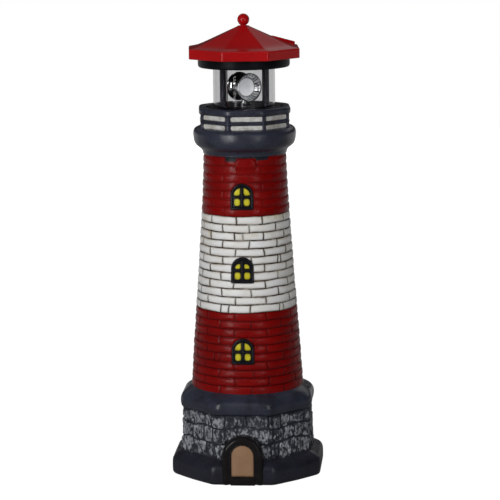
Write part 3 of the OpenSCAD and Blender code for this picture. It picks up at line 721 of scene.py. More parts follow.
def stone_wall():
    nu, al = 840, np.linspace(0, 360, 840, endpoint=False) - 180
    zs = np.concatenate([np.arange(19.0, 64.3, 0.62), [65.0, 66.5]])
    c, s = np.cos(al * DEG), np.sin(al * DEG)
    arc_mm = al * DEG * 62.0
    lines = [16.5, 38.2, 51.6, 66.5]
    wav = [z + (2.2 * vn(c * 3.1, s * 3.1, i * 2.7, 61) + 0.8 * vn(c * 9, s * 9, i * 3.9, 62)) * (1 if 0 < i < 3 else 0) for i, z in enumerate(lines)]
    rs = np.random.RandomState(77)
    joints = []
    for k in range(3):
        xs, x = [], -194.8 + rs.uniform(0, 9)
        while x < 194.8 - 7:
            xs.append(x)
            x += rs.uniform(13.5, 24.0)
        joints.append(np.array(xs))
    # the joints seen on the front, from the photograph's view
    front = [[-36, -22.5, -2.0, 19.5, 33], [-47, -33.5, -21, 22.5, 36, 50], [-44, -31, -20.5, 20.5, 29.5, 45]]
    for k, f in enumerate(front[::-1]):
        f = np.array(f, float) + 5.0
        js = joints[k]
        joints[k] = np.sort(np.concatenate([js[(js < f.min() - 9) | (js > f.max() + 9)], f]))
    rows, hgt = [], []
    for z in zs:
        k = np.zeros(nu, int)
        for i in (1, 2):
            k = np.where(z > wav[i], i, k)
        lo = np.choose(k, wav[:3])
        hi = np.choose(k, wav[1:])
        dz = np.minimum(z - lo, hi - z)
        dz = np.where((k == 0) & (z - lo < hi - z), 99.0, dz)
        dz = np.where((k == 2) & (z - lo >= hi - z), 99.0, dz)
        dj = np.full(nu, 99.0)
        sid = np.zeros(nu, int)
        for kk in range(3):
            js = joints[kk]
            jw = js[None, :] + 1.5 * vn(z / 6.0, np.arange(len(js))[None, :] * 5.1, kk * 3.3, 63)
            d = np.abs(arc_mm[:, None] - jw)
            d = np.minimum(d, 389.6 - d)
            m = k == kk
            dj[m] = d.min(1)[m]
            sid[m] = (np.searchsorted(js, arc_mm[m]) + kk * 40)
        dd = np.minimum(dz, dj)
        # rounder corners where both are near
        dd = np.where((dz < 3) & (dj < 3), np.maximum(dd - 0.7 * (1 - np.clip((dz + dj) / 6, 0, 1)), 0), dd)
        pillow = 1.35 * (1 - np.exp(-(dd / 0.8) ** 1.5))
        so = _hash(sid, sid * 3 + 1, sid * 7 + 2, 65)
        slope = _hash(sid, sid + 5, sid * 2 + 9, 66)
        ang = 0.55 * _hash(sid, sid + 2, sid * 5 + 1, 67) - 0.25
        R = 62.0
        u, w = arc_mm, z
        uu = u * np.cos(ang) - w * np.sin(ang)
        ww = u * np.sin(ang) + w * np.cos(ang)
        strokes = vn(uu / 1.3, ww / 4.4, sid * 1.7, 68)
        strokes = 0.55 * strokes + 0.40 * vn(uu / 4.6, ww / 1.4, sid * 2.3, 69) + 0.2 * vn(u / 0.9, w / 1.5, 5.5, 70)
        rough_ = 0.85 * strokes * sstep(0.2, 1.6, dd)
        big = 0.6 * vn(c * R / 11, s * R / 11, w / 9, 71)
        disp = -1.6 + pillow + 0.55 * so + 0.05 * slope * (z - 42) * 0.5 + rough_ + big
        disp = np.minimum(disp, 1.7) - 1.6 * sstep(62.4, 65.0, z)
        batter = 0.9 * (42 - z) / 24
        base = oct_r(60.6, 9.5, al)
        rows.append(polar(base + disp + batter, al, z))
        hh = 0.52 + 0.38 * strokes + 0.12 * so + 0.12 * sstep(0.3, 1.6, dd) - 0.55 * np.exp(-(dd / 0.48) ** 2) - 0.5 * sstep(27, 21.5, z) - 0.35 * sstep(60.5, 64, z)
        # the pale strokes thin out towards the foot and towards the top under the moulding; painted light makes them
        # stronger on the sides and weaker on the front, about azimuth 5 degrees, and evens them out on the front's
        # upper course
        from_front = np.abs((al - 5.0 + 180) % 360 - 180)
        front_light_even = sstep(27, 17, from_front) * sstep(46, 51, z)
        hh = hh * (1 - 0.5 * front_light_even) + 0.5 * front_light_even * 0.52
        hh = hh + 0.05 * sstep(20, 32, from_front) - 0.05 * sstep(30, 18, from_front)
        hgt.append(hh)
    inner = [polar(55.6, al, 66.5), polar(55.6, al, 45), polar(55.6, al, 19.0)]
    rows = np.stack(rows + inner)
    h = np.concatenate([np.stack(hgt), np.zeros((3, nu))])
    ob = ring(rows, "stone_wall", attrs={"height": h}, sharp=80)
    return finish_piece(ob, "tower", STONE_M, ("tower_shell",))


stone_wall()

# ------------------------------------------------------------------ collar and gallery
col_prof = smooth_prof([(38.95, 303.0), (39.0, 303.8), (39.4, 305.2), (40.2, 306.7), (41.7, 308.2), (43.6, 309.6), (45.4, 311.3), (46.8, 313.6), (47.6, 316.6),
                        (47.9, 319.8), (47.8, 322.8), (47.1, 325.1), (45.6, 326.7), (43.0, 327.7), (39.5, 328.3)], 3)
al_c = np.linspace(0, 360, 320, endpoint=False)
rows_c = []
for r, z in col_prof:
    c_, s_ = np.cos(al_c * DEG), np.sin(al_c * DEG)
    rows_c.append(polar(r + 0.28 * fbm(c_ * 3.2, s_ * 3.2, z / 14, 81, 3), al_c, z))
for r, z in ((33.2, 328.3), (33.2, 319.6), (33.5, 316), (33.5, 303.0)):
    rows_c.append(polar(r, al_c, z))
collar = ring(np.stack(rows_c), "collar", sharp=50)
finish_piece(collar, "tower", SLATE_M, ("tower_shell",))

drum = oct_solid("gallery_drum", [(39.9, 3.0, 326.6), (40.0, 3.0, 331.9), (40.4, 3.0, 332.3), (41.05, 3.0, 332.7), (41.35, 3.0, 333.3), (41.4, 3.0, 334.0),
                                 (41.2, 3.0, 334.7), (40.7, 3.0, 335.1), (40.0, 3.0, 335.5), (39.9, 3.0, 341.4)],
                 [(32.6, 341.4), (32.6, 326.6)], 360, GAL_YAW, bump=soft_bump(0.12, 5, 91), sharp=60)
finish_piece(drum, "tower", SLATE_M, ("tower_shell",))

rim = oct_solid("gallery_rim", [(40.9, 10.0, 340.6), (41.8, 12.0, 340.75), (42.25, 13.0, 341.3), (42.4, 14.0, 342.2), (42.4, 14.0, 344.4), (42.2, 14.0, 345.4),
                                (41.7, 14.0, 346.1), (40.9, 14.0, 346.45), (39.9, 14.0, 346.5)],
                [(36.9, 346.5), (36.3, 346.3), (36.0, 345.8), (36.0, 342.0), (32.6, 342.0), (32.6, 340.6)], 360, GAL_YAW, bump=soft_bump(0.16, 7, 93), sharp=60)
finish_piece(rim, "tower", SLATE_M, ("tower_shell",))


def capsule_post(r, z0, z1, al, rad, nu=20):
    """A rounded upright bar standing at a radius and angle."""
    zz = [z0, z0 + 0.3, z0 + 1.2, (z0 + z1) / 2, z1 - 1.2, z1 - 0.3, z1]
    rr = [r + 0.9, r + 0.35, r, r * 0.97, r, r + 0.35, r + 0.9]
    a = np.linspace(0, 360, nu, endpoint=False)
    cx, cy = rad * math.sin(al * DEG), -rad * math.cos(al * DEG)
    rows = []
    for q, z in zip(rr, zz):
        p = polar(q, a, z)
        p[:, 0] += cx
        p[:, 1] += cy
        rows.append(p)
    return np.stack(rows)


def join_rings(name, parts, **kw):
    """Several capped lofts as one mesh."""
    co, qd, ng, n = [], [], [], 0
    for rows in parts:
        nv, nu = rows.shape[:2]
        pts = rows.reshape(-1, 3)
        q = grid_quads(nv, nu, False)
        g = [list(range(nu))[::-1], [(nv - 1) * nu + i for i in range(nu)]]
        a, b, c, d = (pts[q[:, i]] for i in range(4))
        if ((((a + b + c + d) / 4 - pts.mean(0)) * np.cross(c - a, d - b)).sum()) < 0:
            q, g = q[:, ::-1], [x[::-1] for x in g]
        co.append(pts)
        qd.append(q + n)
        ng += [[i + n for i in x] for x in g]
        n += len(pts)
    return make(name, np.concatenate(co), np.concatenate(qd), ng, turn=False, **kw)


posts = join_rings("gallery_posts", [capsule_post(2.15, 327.0, 341.3, GAL_YAW + 22.5 + 45 * k, 42.1) for k in range(8)], sharp=60)
finish_piece(posts, "tower", SLATE_M, ("tower_shell",))


def rrect(w, h, rho, n=6):
    """(points, outward normals) round a rectangle with rounded corners."""
    pts, nor = [], []
    for cx, cy, a0 in ((w / 2 - rho, -h / 2 + rho, -90), (w / 2 - rho, h / 2 - rho, 0), (-w / 2 + rho, h / 2 - rho, 90), (-w / 2 + rho, -h / 2 + rho, 180)):
        for k in range(n + 1):
            a = (a0 + 90 * k / n) * DEG
            nor.append((math.cos(a), math.sin(a)))
            pts.append((cx + rho * math.cos(a), cy + rho * math.sin(a)))
    return np.array(pts), np.array(nor)


PAD = [(0.0, -1.2), (0.0, 0.15), (0.12, 0.45), (0.38, 0.70), (0.75, 0.82), (1.1, 0.86)]


def pad_rows(path, nor, prof):
    return [np.column_stack([path - nor * s, np.full(len(path), t)]) for s, t in prof]


def on_gallery(p, k, zc, a=40.0):
    """From a panel's own plane (x across, y up, depth) to the gallery face k."""
    al = (GAL_YAW + 45 * k) * DEG
    x, y, t = p[..., 0], p[..., 1], p[..., 2]
    ux, uy = np.array([math.cos(al), math.sin(al)]), np.array([math.sin(al), -math.cos(al)])
    out = np.empty(p.shape)
    out[..., 0] = x * ux[0] + (a + t) * uy[0]
    out[..., 1] = x * ux[1] + (a + t) * uy[1]
    out[..., 2] = zc + y
    return out


parts, edges = [], []
rs_g = np.random.RandomState(5)
for k in range(8):
    for zc, hh in ((329.85, 4.5), (338.05, 4.9)):
        pth, nr = rrect((29.7 if k == 0 else 27.4) + rs_g.uniform(-0.3, 0.3), hh, 1.5)
        pth = pth + [1.1 if k == 0 else 0.0, 0.0]
        rows = np.stack([on_gallery(r, k, zc + rs_g.uniform(-0.12, 0.12)) for r in pad_rows(pth, nr, PAD)])
        parts.append(rows)
        edges.append(np.repeat(np.array([1, 1, 0.7, 0.25, 0.05, 0.0])[:, None], rows.shape[1], 1).ravel())
panels = join_rings("gallery_panels", parts, sharp=60, attrs={"edge": np.concatenate(edges)})
finish_piece(panels, "tower", PANEL_M, ("tower_shell",))

# ------------------------------------------------------------------ windows
def arch_path(w, h, rho=0.0, n_arc=28, n_side=8, n_base=10, open_base=False):
    """(points, outward normals) of an arch standing on y = 0, from the lower left, round the top."""
    pts, nor = [], []
    r = w / 2
    if not open_base:
        for k in range(n_base + 1):
            t = k / n_base
            pts.append((w / 2 - rho - t * (w - 2 * rho), 0))
            nor.append((0, -1))
        for k in range(1, 5):
            a = (270 - 90 * k / 4) * DEG
            nor.append((math.cos(a), math.sin(a)))
            pts.append((-w / 2 + rho + rho * math.cos(a), rho + rho * math.sin(a)))
    for k in range(1 if not open_base else 0, n_side):
        pts.append((-r, rho + (h - r - rho) * k / n_side))
        nor.append((-1, 0))
    for k in range(n_arc + 1):
        a = (180 - 180 * k / n_arc) * DEG
        pts.append((r * math.cos(a), h - r + r * math.sin(a)))
        nor.append((math.cos(a), math.sin(a)))
    for k in range(1, n_side + (1 if open_base else 0)):
        pts.append((r, h - r - (h - r - rho) * k / n_side))
        nor.append((1, 0))
    if not open_base:
        for k in range(0, 4):
            a = (0 - 90 * k / 4) * DEG
            nor.append((math.cos(a), math.sin(a)))
            pts.append((w / 2 - rho + rho * math.cos(a), rho + rho * math.sin(a)))
    return np.array(pts), np.array(nor)


def on_shaft(p, z0, a0=0.0):
    """Wraps (x across, y up, depth) round the shaft."""
    x, y, t = p[..., 0], p[..., 1], p[..., 2]
    rc = shaft_r(z0 + 12.0)
    al = x / rc / DEG + a0
    return polar(shaft_r(z0 + y) + t, al, z0 + y)


def chaikin(p, n=3):
    p = np.asarray(p, float)
    for _ in range(n):
        q = np.roll(p, -1, 0)
        p = np.stack([0.78 * p + 0.22 * q, 0.22 * p + 0.78 * q], 1).reshape(-1, 2)
    return p


def pillow_rows(poly, prof):
    c = poly.mean(0)
    return [np.column_stack([c + (poly - c) * s, np.full(len(poly), t)]) for s, t in prof]


FRAME_SEC = [(0.0, -2.5), (0.0, 0.7), (0.15, 1.2), (0.55, 1.6), (1.15, 1.78), (1.75, 1.66), (2.2, 1.3), (2.5, 0.75), (2.6, 0.2), (2.6, -2.5)]
for w_i, (z0, dx) in enumerate(((254.5, 0.0), (186.5, 0.0), (111.0, 0.0)), 1):
    pth, nr = arch_path(21.0, 24.2, 1.2)
    rows = np.stack([on_shaft(r, z0) for r in pad_rows(pth, nr, FRAME_SEC)])
    fr_ = ring(rows, "window_frame_%d" % w_i, wrap_v=True, sharp=60)
    finish_piece(fr_, "tower", FRAME_M, ("tower_shell",))
    # the sunk field and the glazing bars
    pth, nr = arch_path(16.6, 20.2, 0.5)
    pth = pth + np.array([0, 2.0])
    field = [on_shaft(np.column_stack([pth * [s, 1] + [0, 0], np.full(len(pth), t)]), z0) for s, t in ((1.0, -2.5), (1.0, 0.25))]
    inner_rings = []
    cen = np.array([0.0, 11.5])
    for s in (0.8, 0.55, 0.3, 0.08):
        inner_rings.append(on_shaft(np.column_stack([cen + (pth - cen) * s, np.full(len(pth), 0.25)]), z0))
    fld = ring(np.stack(field + inner_rings), "window_field_%d" % w_i, wrap_v=False, caps=True, sharp=60)
    finish_piece(fld, "tower", FRAME_M, ("tower_shell",))
    bars = []
    prof_b = [(0.0, -2.0), (0.0, 0.7), (0.2, 1.05), (0.6, 1.2), (0.95, 1.22)]
    pb, nb = rrect(2.3, 19.0, 1.0, 3)
    # the upright bar
    bars.append(np.stack([on_shaft(r, z0) for r in pad_rows(pb + [0, 11.9], nb, prof_b)]))
    for sx in (-1, 1):
        pb, nb = rrect(8.2, 2.1, 0.95, 3)
        bars.append(np.stack([on_shaft(r, z0) for r in pad_rows(pb + [sx * 4.6, 11.6], nb, prof_b)]))
    br = join_rings("window_bars_%d" % w_i, bars, sharp=60)
    finish_piece(br, "tower", FRAME_M, ("tower_shell",))
    panes, ed = [], []
    prof_p = [(1.0, -1.6), (1.0, 0.35), (0.93, 0.72), (0.82, 0.86), (0.6, 0.95), (0.3, 1.0)]
    prof_e = [1.0, 1.0, 0.9, 0.45, 0.08, 0.0]
    for sx in (-1, 1):
        quad = chaikin([(sx * 1.35, 3.3), (sx * 7.4, 3.3), (sx * 7.4, 10.5), (sx * 1.35, 10.5)], 3)
        arcp = [(sx * 1.35, 12.8), (sx * 7.5, 12.8)] + [(sx * 7.9 * math.cos(a * DEG), 12.9 + 7.6 * math.sin(a * DEG)) for a in (18, 34, 50, 64, 76)] + [(sx * 1.35, 20.2)]
        arcp = chaikin(arcp, 2)
        if w_i == 2:
            arcp = chaikin([(sx * 1.6, 13.3), (sx * 6.7, 13.3), (sx * 6.6, 15.6), (sx * 5.2, 17.6), (sx * 1.6, 18.4)], 3)
        for poly in (quad, arcp):
            rr = np.stack([on_shaft(r, z0) for r in pillow_rows(poly, prof_p)])
            panes.append(rr)
            ed.append(np.repeat(np.array(prof_e)[:, None], rr.shape[1], 1).ravel())
    pn_ = join_rings("window_panes_%d" % w_i, panes, sharp=60, attrs={"edge": np.concatenate(ed)})
    finish_piece(pn_, "tower", PANE_M, ("tower_shell",))

# ------------------------------------------------------------------ doorway
def front_plane(p, z0=0.0):
    """(x across, y up, depth) on the door's plane; depth counts from the axis."""
    out = np.empty(p.shape)
    out[..., 0], out[..., 1], out[..., 2] = p[..., 0], -p[..., 2], z0 + p[..., 1]
    return out


DOOR_SEC = [(0.0, 55.0), (0.0, 67.6), (0.2, 69.3), (0.8, 70.8), (1.9, 71.8), (3.2, 72.2), (4.5, 72.0), (5.6, 71.3), (6.4, 70.55), (6.9, 70.4), (7.4, 70.75),
            (8.0, 70.7), (8.4, 70.5), (8.5, 70.0), (8.5, 55.0)]
pth, nr = arch_path(38.4, 46.2, 0.0, 40, 16, open_base=True)
rows = np.stack([front_plane(np.column_stack([pth - nr * s, np.full(len(pth), d)]), 0.6) for s, d in DOOR_SEC])
nv, nu = rows.shape[:2]
jj, ii = np.meshgrid(np.arange(nv), np.arange(nu - 1), indexing="ij")
q = np.stack([jj * nu + ii, jj * nu + ii + 1, ((jj + 1) % nv) * nu + ii + 1, ((jj + 1) % nv) * nu + ii], -1).reshape(-1, 4)
ends = [[j * nu for j in range(nv)], [j * nu + nu - 1 for j in range(nv)][::-1]]
wob = rows.reshape(-1, 3).copy()
foot_z, foot_d = (0.0, 0.6, 1.8, 3.9, 9.0), (5.45, 2.9, 1.1, 0.4, 0.0)
wob[:, 1] += np.interp(wob[:, 2], foot_z, foot_d) * (wob[:, 1] < -60)
wob[:, 1] -= 0.22 * vn(wob[:, 0] / 6, wob[:, 2] / 6, 0.5, 101)
wob[:, 0] += 0.25 * vn(wob[:, 0] / 9, wob[:, 2] / 9, 4.5, 102)
arch = make("door_surround", wob, q, ends, sharp=60, turn=False)
bmx = bmesh.new()
bmx.from_mesh(arch.data)
bmesh.ops.recalc_face_normals(bmx, faces=bmx.faces)
bmx.to_mesh(arch.data)
bmx.free()
finish_piece(arch, "tower", DFRAME_M, ("tower_shell",))

# the black fill behind the panel, and the step under it
pth, nr = arch_path(22.4, 38.6, 0.0, 30, 10, open_base=True)
fill = np.stack([front_plane(np.column_stack([pth, np.full(len(pth), d)]), 0.6) for d in (55.0, 70.55)])
fill = ring(fill, "door_fill", wrap_v=False, caps=True, sharp=30)
finish_piece(fill, "tower", DFRAME_M, ("tower_shell",))

pth, nr = rrect(22.4, 7.6, 0.9, 4)
step = np.stack([front_plane(np.column_stack([pth - nr * s, np.full(len(pth), d)]), 4.6) for s, d in ((0, 60), (0, 70.1), (0.1, 70.8), (0.35, 71.3), (0.8, 71.5))])
step[..., 1] += np.interp(step[..., 2], foot_z, foot_d) * (step[..., 1] < -61)
step = ring(step, "door_step", wrap_v=False, caps=True, sharp=50)
finish_piece(step, "tower", DFRAME_M, ("tower_shell",))

pth, nr = arch_path(21.3, 30.4, 1.2, 30, 10)
secs = [(0.0, 66.0), (0.0, 70.3), (0.2, 70.7), (0.7, 70.95), (1.3, 71.03), (2.2, 71.06), (3.6, 71.06), (5.5, 71.06)]
prow = []
for s, d in secs:
    if s <= 1.3:
        pp = pth - nr * s
    else:
        cen = np.array([0, 14.5])
        pp = cen + (pth - nr * 1.1 - cen) * (1 - (s - 1.1) / 11.0)
    prow.append(front_plane(np.column_stack([pp, np.full(len(pp), d)]), 8.7))
prow = np.stack(prow)
ed = np.repeat(np.array([1, 1, 0.9, 0.35, 0.06, 0, 0, 0.0])[:, None], prow.shape[1], 1)
# the leaf's colour turns dark brown towards its foot, by the sill
ed = np.maximum(ed, 0.85 * sstep(10.6, 9.4, prow[..., 2]))
door = ring(prow, "door_leaf", wrap_v=False, caps=True, sharp=60, attrs={"edge": ed})
finish_piece(door, "tower", DOOR_M, ("tower_shell",))

# ------------------------------------------------------------------ lantern
H = HEAD_YAW
roof_sec = [(5.2, 420.8), (5.7, 420.65), (6.3, 420.1), (20, 413.97), (34, 407.7), (37.2, 406.3), (40.2, 405.0), (43.2, 403.8), (46.3, 402.75), (49.4, 402.05),
            (52.3, 401.55), (54.1, 401.15), (54.85, 400.8), (55.2, 400.1), (55.2, 396), (55.2, 392.5), (54.9, 392.05), (54.4, 391.9), (53.4, 391.9), (53.0, 392.1), (53.0, 398.6),
            (49, 399.7), (44, 400.9), (40, 402.4), (34, 405), (20, 411.2), (7, 417.0)]
al_r = np.linspace(0, 360, 416, endpoint=False)
rrows = []
for r, z in support(roof_sec, 0.25):
    a = r * math.cos(22.5 * DEG)
    rho = min(0.9 + 0.036 * r, 0.35 * a)
    rrows.append(polar(oct_r(a, rho, al_r, H), al_r, z))
roof = ring(np.stack(rrows), "roof", wrap_v=False, caps=True, sharp=28)
finish_piece(roof, "head", ROOF_M, ("roof_shell",))

# the screw bosses under the roof
bos = []
for k in range(4):
    al = H + 90 * k
    cx, cy = 34 * math.sin(al * DEG), -34 * math.cos(al * DEG)
    a = np.linspace(0, 360, 28, endpoint=False)
    rr = []
    for r, z in ((3.0, 385.5), (3.0, 404.4)):
        p = polar(r, a, z)
        p[:, 0] += cx
        p[:, 1] += cy
        rr.append(p)
    bos.append(np.stack(rr))
bosses = join_rings("roof_bosses", bos, sharp=40)
finish_piece(bosses, "head", ROOF_M, ("roof_shell",))

# raised pad with the sunk panel
PAD_A, PAD_TOP, PAD_LOW = (29.0, 49.5), (410.1, 403.8), (408.3, 400.4)
tilt = math.atan((PAD_TOP[0] - PAD_TOP[1]) / (PAD_A[1] - PAD_A[0]))
mid = (39.25, (PAD_TOP[0] + PAD_TOP[1]) / 2 - 0.6)
hw = [a * math.tan(22.5 * DEG) - 1.2 for a in PAD_A]
yaw45 = Matrix.Rotation((45 + H) * DEG, 4, "Z")


def pad_pt(a, y, z):
    return yaw45 @ Vector((a * MM, y * MM, z * MM))


def pad_local(x, y, z):
    m = Matrix.Translation(Vector((mid[0] * MM, 0, mid[1] * MM))) @ Matrix.Rotation(tilt, 4, "Y")
    return yaw45 @ (m @ Vector((x * MM, y * MM, z * MM)))


bmp = bmesh.new()
lowv = [bmp.verts.new(pad_pt(PAD_A[i], s * hw[i], PAD_LOW[i])) for i, s in ((0, -1), (0, 1), (1, 1), (1, -1))]
topv = [bmp.verts.new(pad_pt(PAD_A[i], s * hw[i], PAD_TOP[i])) for i, s in ((0, -1), (0, 1), (1, 1), (1, -1))]
holt = [bmp.verts.new(pad_local(x, y, 0.6)) for x, y in ((-8.85, -10.6), (-8.85, 10.6), (8.85, 10.6), (8.85, -10.6))]
holb = [bmp.verts.new(pad_local(x, y, -0.78)) for x, y in ((-8.85, -10.6), (-8.85, 10.6), (8.85, 10.6), (8.85, -10.6))]
# the pocket's rim lies in the pad's top plane
topn = (topv[1].co - topv[0].co).cross(topv[3].co - topv[0].co).normalized()
for v in holt:
    v.co -= topn * (v.co - topv[0].co).dot(topn)
for i in range(4):
    j = (i + 1) % 4
    bmp.faces.new((lowv[i], lowv[j], topv[j], topv[i]))
    bmp.faces.new((topv[i], topv[j], holt[j], holt[i]))
    bmp.faces.new((holt[i], holt[j], holb[j], holb[i]))
bmp.faces.new(holb)
bmp.faces.new(lowv)
bmesh.ops.recalc_face_normals(bmp, faces=bmp.faces)
sel = [e for e in bmp.edges if not (e.verts[0] in lowv and e.verts[1] in lowv)]
bmesh.ops.bevel(bmp, geom=sel, offset=0.35 * MM, segments=2, profile=0.6, affect="EDGES")
mp = bpy.data.meshes.new("roof_pad")
bmp.to_mesh(mp)
bmp.free()
mp.polygons.foreach_set("use_smooth", np.ones(len(mp.polygons), bool))
mp.set_sharp_from_angle(angle=50 * DEG)
pad_ob = bpy.data.objects.new("roof_pad", mp)
bpy.context.scene.collection.objects.link(pad_ob)
finish_piece(pad_ob, "head", ROOF_M, ("roof_shell",))

fin = [(0, 411.5), (1.9, 411.5), (1.9, 420.6), (2.9, 420.7), (3.1, 421.0), (2.7, 421.6), (2.35, 422.3), (2.5, 422.6)]
fin += [(5.6 * math.sin(t * DEG), 426.4 - 5.6 * math.cos(t * DEG)) for t in range(32, 180, 6)] + [(0, 432)]
finial = revolve("finial", fin, 64, sharp=50)
finish_piece(finial, "head", ROOF_M, ("finial_ball",))

ringp = [(34.0, 385.4), (27.6, 385.4), (27.5, 384.5), (26.9, 383.9), (26.9, 383.2), (27.4, 383.0), (28.8, 383.0), (40.4, 383.0), (41.6, 383.2), (42.25, 383.75), (42.6, 384.6), (42.75, 386),
         (42.75, 390.5), (42.6, 395.2), (42.2, 396), (40.9, 396), (40.7, 395.5), (40.7, 386.4), (40.2, 385.5), (38, 385.4)]
cr = revolve("lantern_ring", ringp, 224, sharp=40)
finish_piece(cr, "head", BLACK_P, ("ceiling_ring",))
plate = revolve("lantern_ceiling", [(0, 383.35), (27.6, 383.35), (28.4, 383.6), (28.4, 385.3), (27.6, 385.5), (0, 385.5)], 160, sharp=40)
finish_piece(plate, "head", BLACK_P, ("ceiling_ring",))

tb = revolve("lantern_tube", [(27.6, 344.6), (28.8, 344.6), (28.8, 384.4), (27.6, 384.4), (27.6, 344.6001)], 224, sharp=30)
finish_piece(tb, "head", CLEAR_M, ("clear_tube",))

flo = [(3.38, 345.1), (3.38, 347.7), (3.6, 348.0), (5.9, 348.0), (6.2, 347.8), (6.35, 347.6), (7.0, 347.5), (25.6, 347.5), (26.2, 347.3), (26.4, 346.9), (26.4, 345.0), (5, 345.0)]
floor_p = revolve("lantern_floor", flo, 160, sharp=35)
finish_piece(floor_p, "head", BLACK_P, ("lantern_cage",))


def lantern_post(al):
    """A post with a curved outer face, rounded edges and a small foot at each end."""
    rows = []
    for z, g in ((347.3, 0.55), (347.9, 0.3), (348.9, 0.06), (350.5, 0.0), (365, 0.0), (380.3, 0.0), (381.9, 0.06), (382.7, 0.3), (383.2, 0.55)):
        w, r0, r1, c = 2.5 + g, 23.6 - g, 27.1 + min(g, 0.3), 0.55
        sec = []
        for k in range(-3, 4):
            x = (w - c) * k / 3
            sec.append((x, math.sqrt(r1 * r1 - x * x)))
        sec += [(w - 0.16, r1 - 0.28 - 0.05 * w), (w, r1 - 0.75), (w, r0 + c), (w - 0.16, r0 + 0.16), (w - c, r0), (0, r0), (-(w - c), r0), (-(w - 0.16), r0 + 0.16), (-w, r0 + c), (-w, r1 - 0.75), (-(w - 0.16), r1 - 0.28 - 0.05 * w)]
        sec = np.array(sec)
        a = (al + H) * DEG
        X = sec[:, 0] * math.cos(a) + sec[:, 1] * math.sin(a)
        Y = sec[:, 0] * math.sin(a) - sec[:, 1] * math.cos(a)
        rows.append(np.column_stack([X, Y, np.full(len(sec), z)]))
    return np.stack(rows)


cage_posts = join_rings("lantern_posts", [lantern_post(a) for a in (-52, 52, 128, -128)], sharp=50)
finish_piece(cage_posts, "head", POST_P, ("lantern_cage",))

# ------------------------------------------------------------------ beacon
BY = 31.0 + H
B_AX = Vector((math.sin(BY * DEG), -math.cos(BY * DEG), 0))


def dish(name, sgn, node):
    """A moulded reflector: satin floor with a faint painted glow, fluted and stepped wall, and a beaded rim, with dark
    lines of painted reflection along the flutes and the rim.
    """
    prof = [(4.0, 2.8), (8.4, 2.8), (10.0, 4.0), (11.6, 6.0), (12.3, 7.3), (12.5, 7.9), (13.1, 8.0), (13.35, 8.3), (13.4, 8.9), (13.35, 9.5), (13.1, 9.85), (12.75, 9.95), (12.45, 9.8), (12.3, 9.5), (12.2, 9.2)]
    i0 = len(prof)
    n1 = 22
    for k in range(n1 + 1):
        t = k / n1
        r = 12.1 * (1 - t) + 8.3 * t
        u = 4.05 + (9.1 - 4.05) * ((r - 8.3) / 3.8) ** 1.35
        prof.append((r, u))
    prof += [(8.15, 4.0), (7.6, 4.0), (5.5, 4.0), (3.4, 4.0), (1.2, 4.0)]
    nu = 288
    th = np.linspace(0, 360, nu, endpoint=False)
    rows, satin_glow_rows, dark_reflection_lines = [], [], []
    for i, (r, u) in enumerate(prof):
        rr, uu = np.full(nu, float(r)), np.full(nu, float(u))
        sv, lv = np.zeros(nu), np.zeros(nu)
        if i0 <= i < i0 + n1 + 1:
            t = (i - i0) / n1
            k_ = sstep(0.0, 0.12, t) * sstep(1.0, 0.9, t)
            fl = 0.16 * np.abs(np.cos(th * DEG * 12)) * k_
            fc = 0.07 * np.cos(2 * PI * t * 4.0 + 12 * th * DEG) * k_
            rr = rr - fl * 0.6 + fc * 0.5
            uu = uu + fl * 0.5 + fc
            sv += 0.42
            # dark lines painted along the flute creases and at both ends of the wall, standing in for dark reflections
            lv = np.clip((1 - np.abs(np.cos(th * DEG * 12 + 1.6 * t))) ** 0.9 * 1.75 * np.clip(0.75 + 1.1 * vn(th / 14.0, t * 2.0, 1.5, 111), 0.15, 1.4)
                         + 0.5 * np.clip(vn(th / 5.0, t * 6.0, 2.5, 112) * 2.2, 0, 1), 0, 1) * k_
            lv = np.maximum(lv, 0.9 * sstep(0.90, 1.0, t))
            lv = np.maximum(lv, 0.8 * sstep(0.10, 0.0, t))
        elif i >= i0 + n1 + 1:
            sv += 1.0
        # the rim's inner step and the foot of its bead also get painted dark reflection lines
        elif i >= 13:
            lv += 0.6
        elif i in (5, 6):
            lv += 0.9
        x = rr * np.cos(th * DEG)
        z = rr * np.sin(th * DEG)
        satin_glow_rows.append(sv * (1 if sgn > 0 else 0.4))
        dark_reflection_lines.append(lv)
        rows.append(np.column_stack([x, -sgn * uu, z]))
    rows = np.stack(rows)
    # y of the local frame is along the beacon's axis
    a = BY * DEG
    X = rows[..., 0] * math.cos(a) - rows[..., 1] * math.sin(a)
    Y = rows[..., 0] * math.sin(a) + rows[..., 1] * math.cos(a)
    rows = np.stack([X, Y, rows[..., 2] + 364.0], -1)
    ob = ring(rows, name, wrap_v=False, caps=True, sharp=32, attrs={"satin_and_glow": np.stack(satin_glow_rows), "line": np.stack(dark_reflection_lines)})
    return finish_piece(ob, "beacon", DISH_M, (node,))


dish("beacon_dish_front", 1, "reflector_front")
dish("beacon_dish_rear", -1, "reflector_rear")

# ------------------------------------------------------------------ stage, light, camera
floor_me = bpy.data.meshes.new("floor")
floor_me.from_pydata([(-14, -14, -0.0002), (14, -14, -0.0002), (14, 14, -0.0002), (-14, 14, -0.0002)], [], [(0, 1, 2, 3)])
floor = bpy.data.objects.new("floor", floor_me)
bpy.context.scene.collection.objects.link(floor)
fm = Mat("floor_pale")
fm.colour((0.22, 0.22, 0.22))
fm.rough(0.9)
fm.p.inputs["Specular IOR Level"].default_value = 0.0
em = fm.n("Emission")
em.inputs["Color"].default_value = (1, 1, 1, 1)
lp = fm.n("LightPath")
fsep = fm.n("SeparateXYZ")
fm.link(fm.tc.outputs["Object"], fsep.inputs[0])
behind = fm.rng(fsep.outputs["Y"], 0.05, 0.50, 0.035, 1.2)
seen = fm.math("MULTIPLY", lp.outputs["Is Camera Ray"], 0.97)
mirrored = fm.math("MULTIPLY", fm.math("SUBTRACT", fm.math("SUBTRACT", 1.0, lp.outputs["Is Camera Ray"]), fm.math("MINIMUM", lp.outputs["Diffuse Depth"], 1.0)), behind)
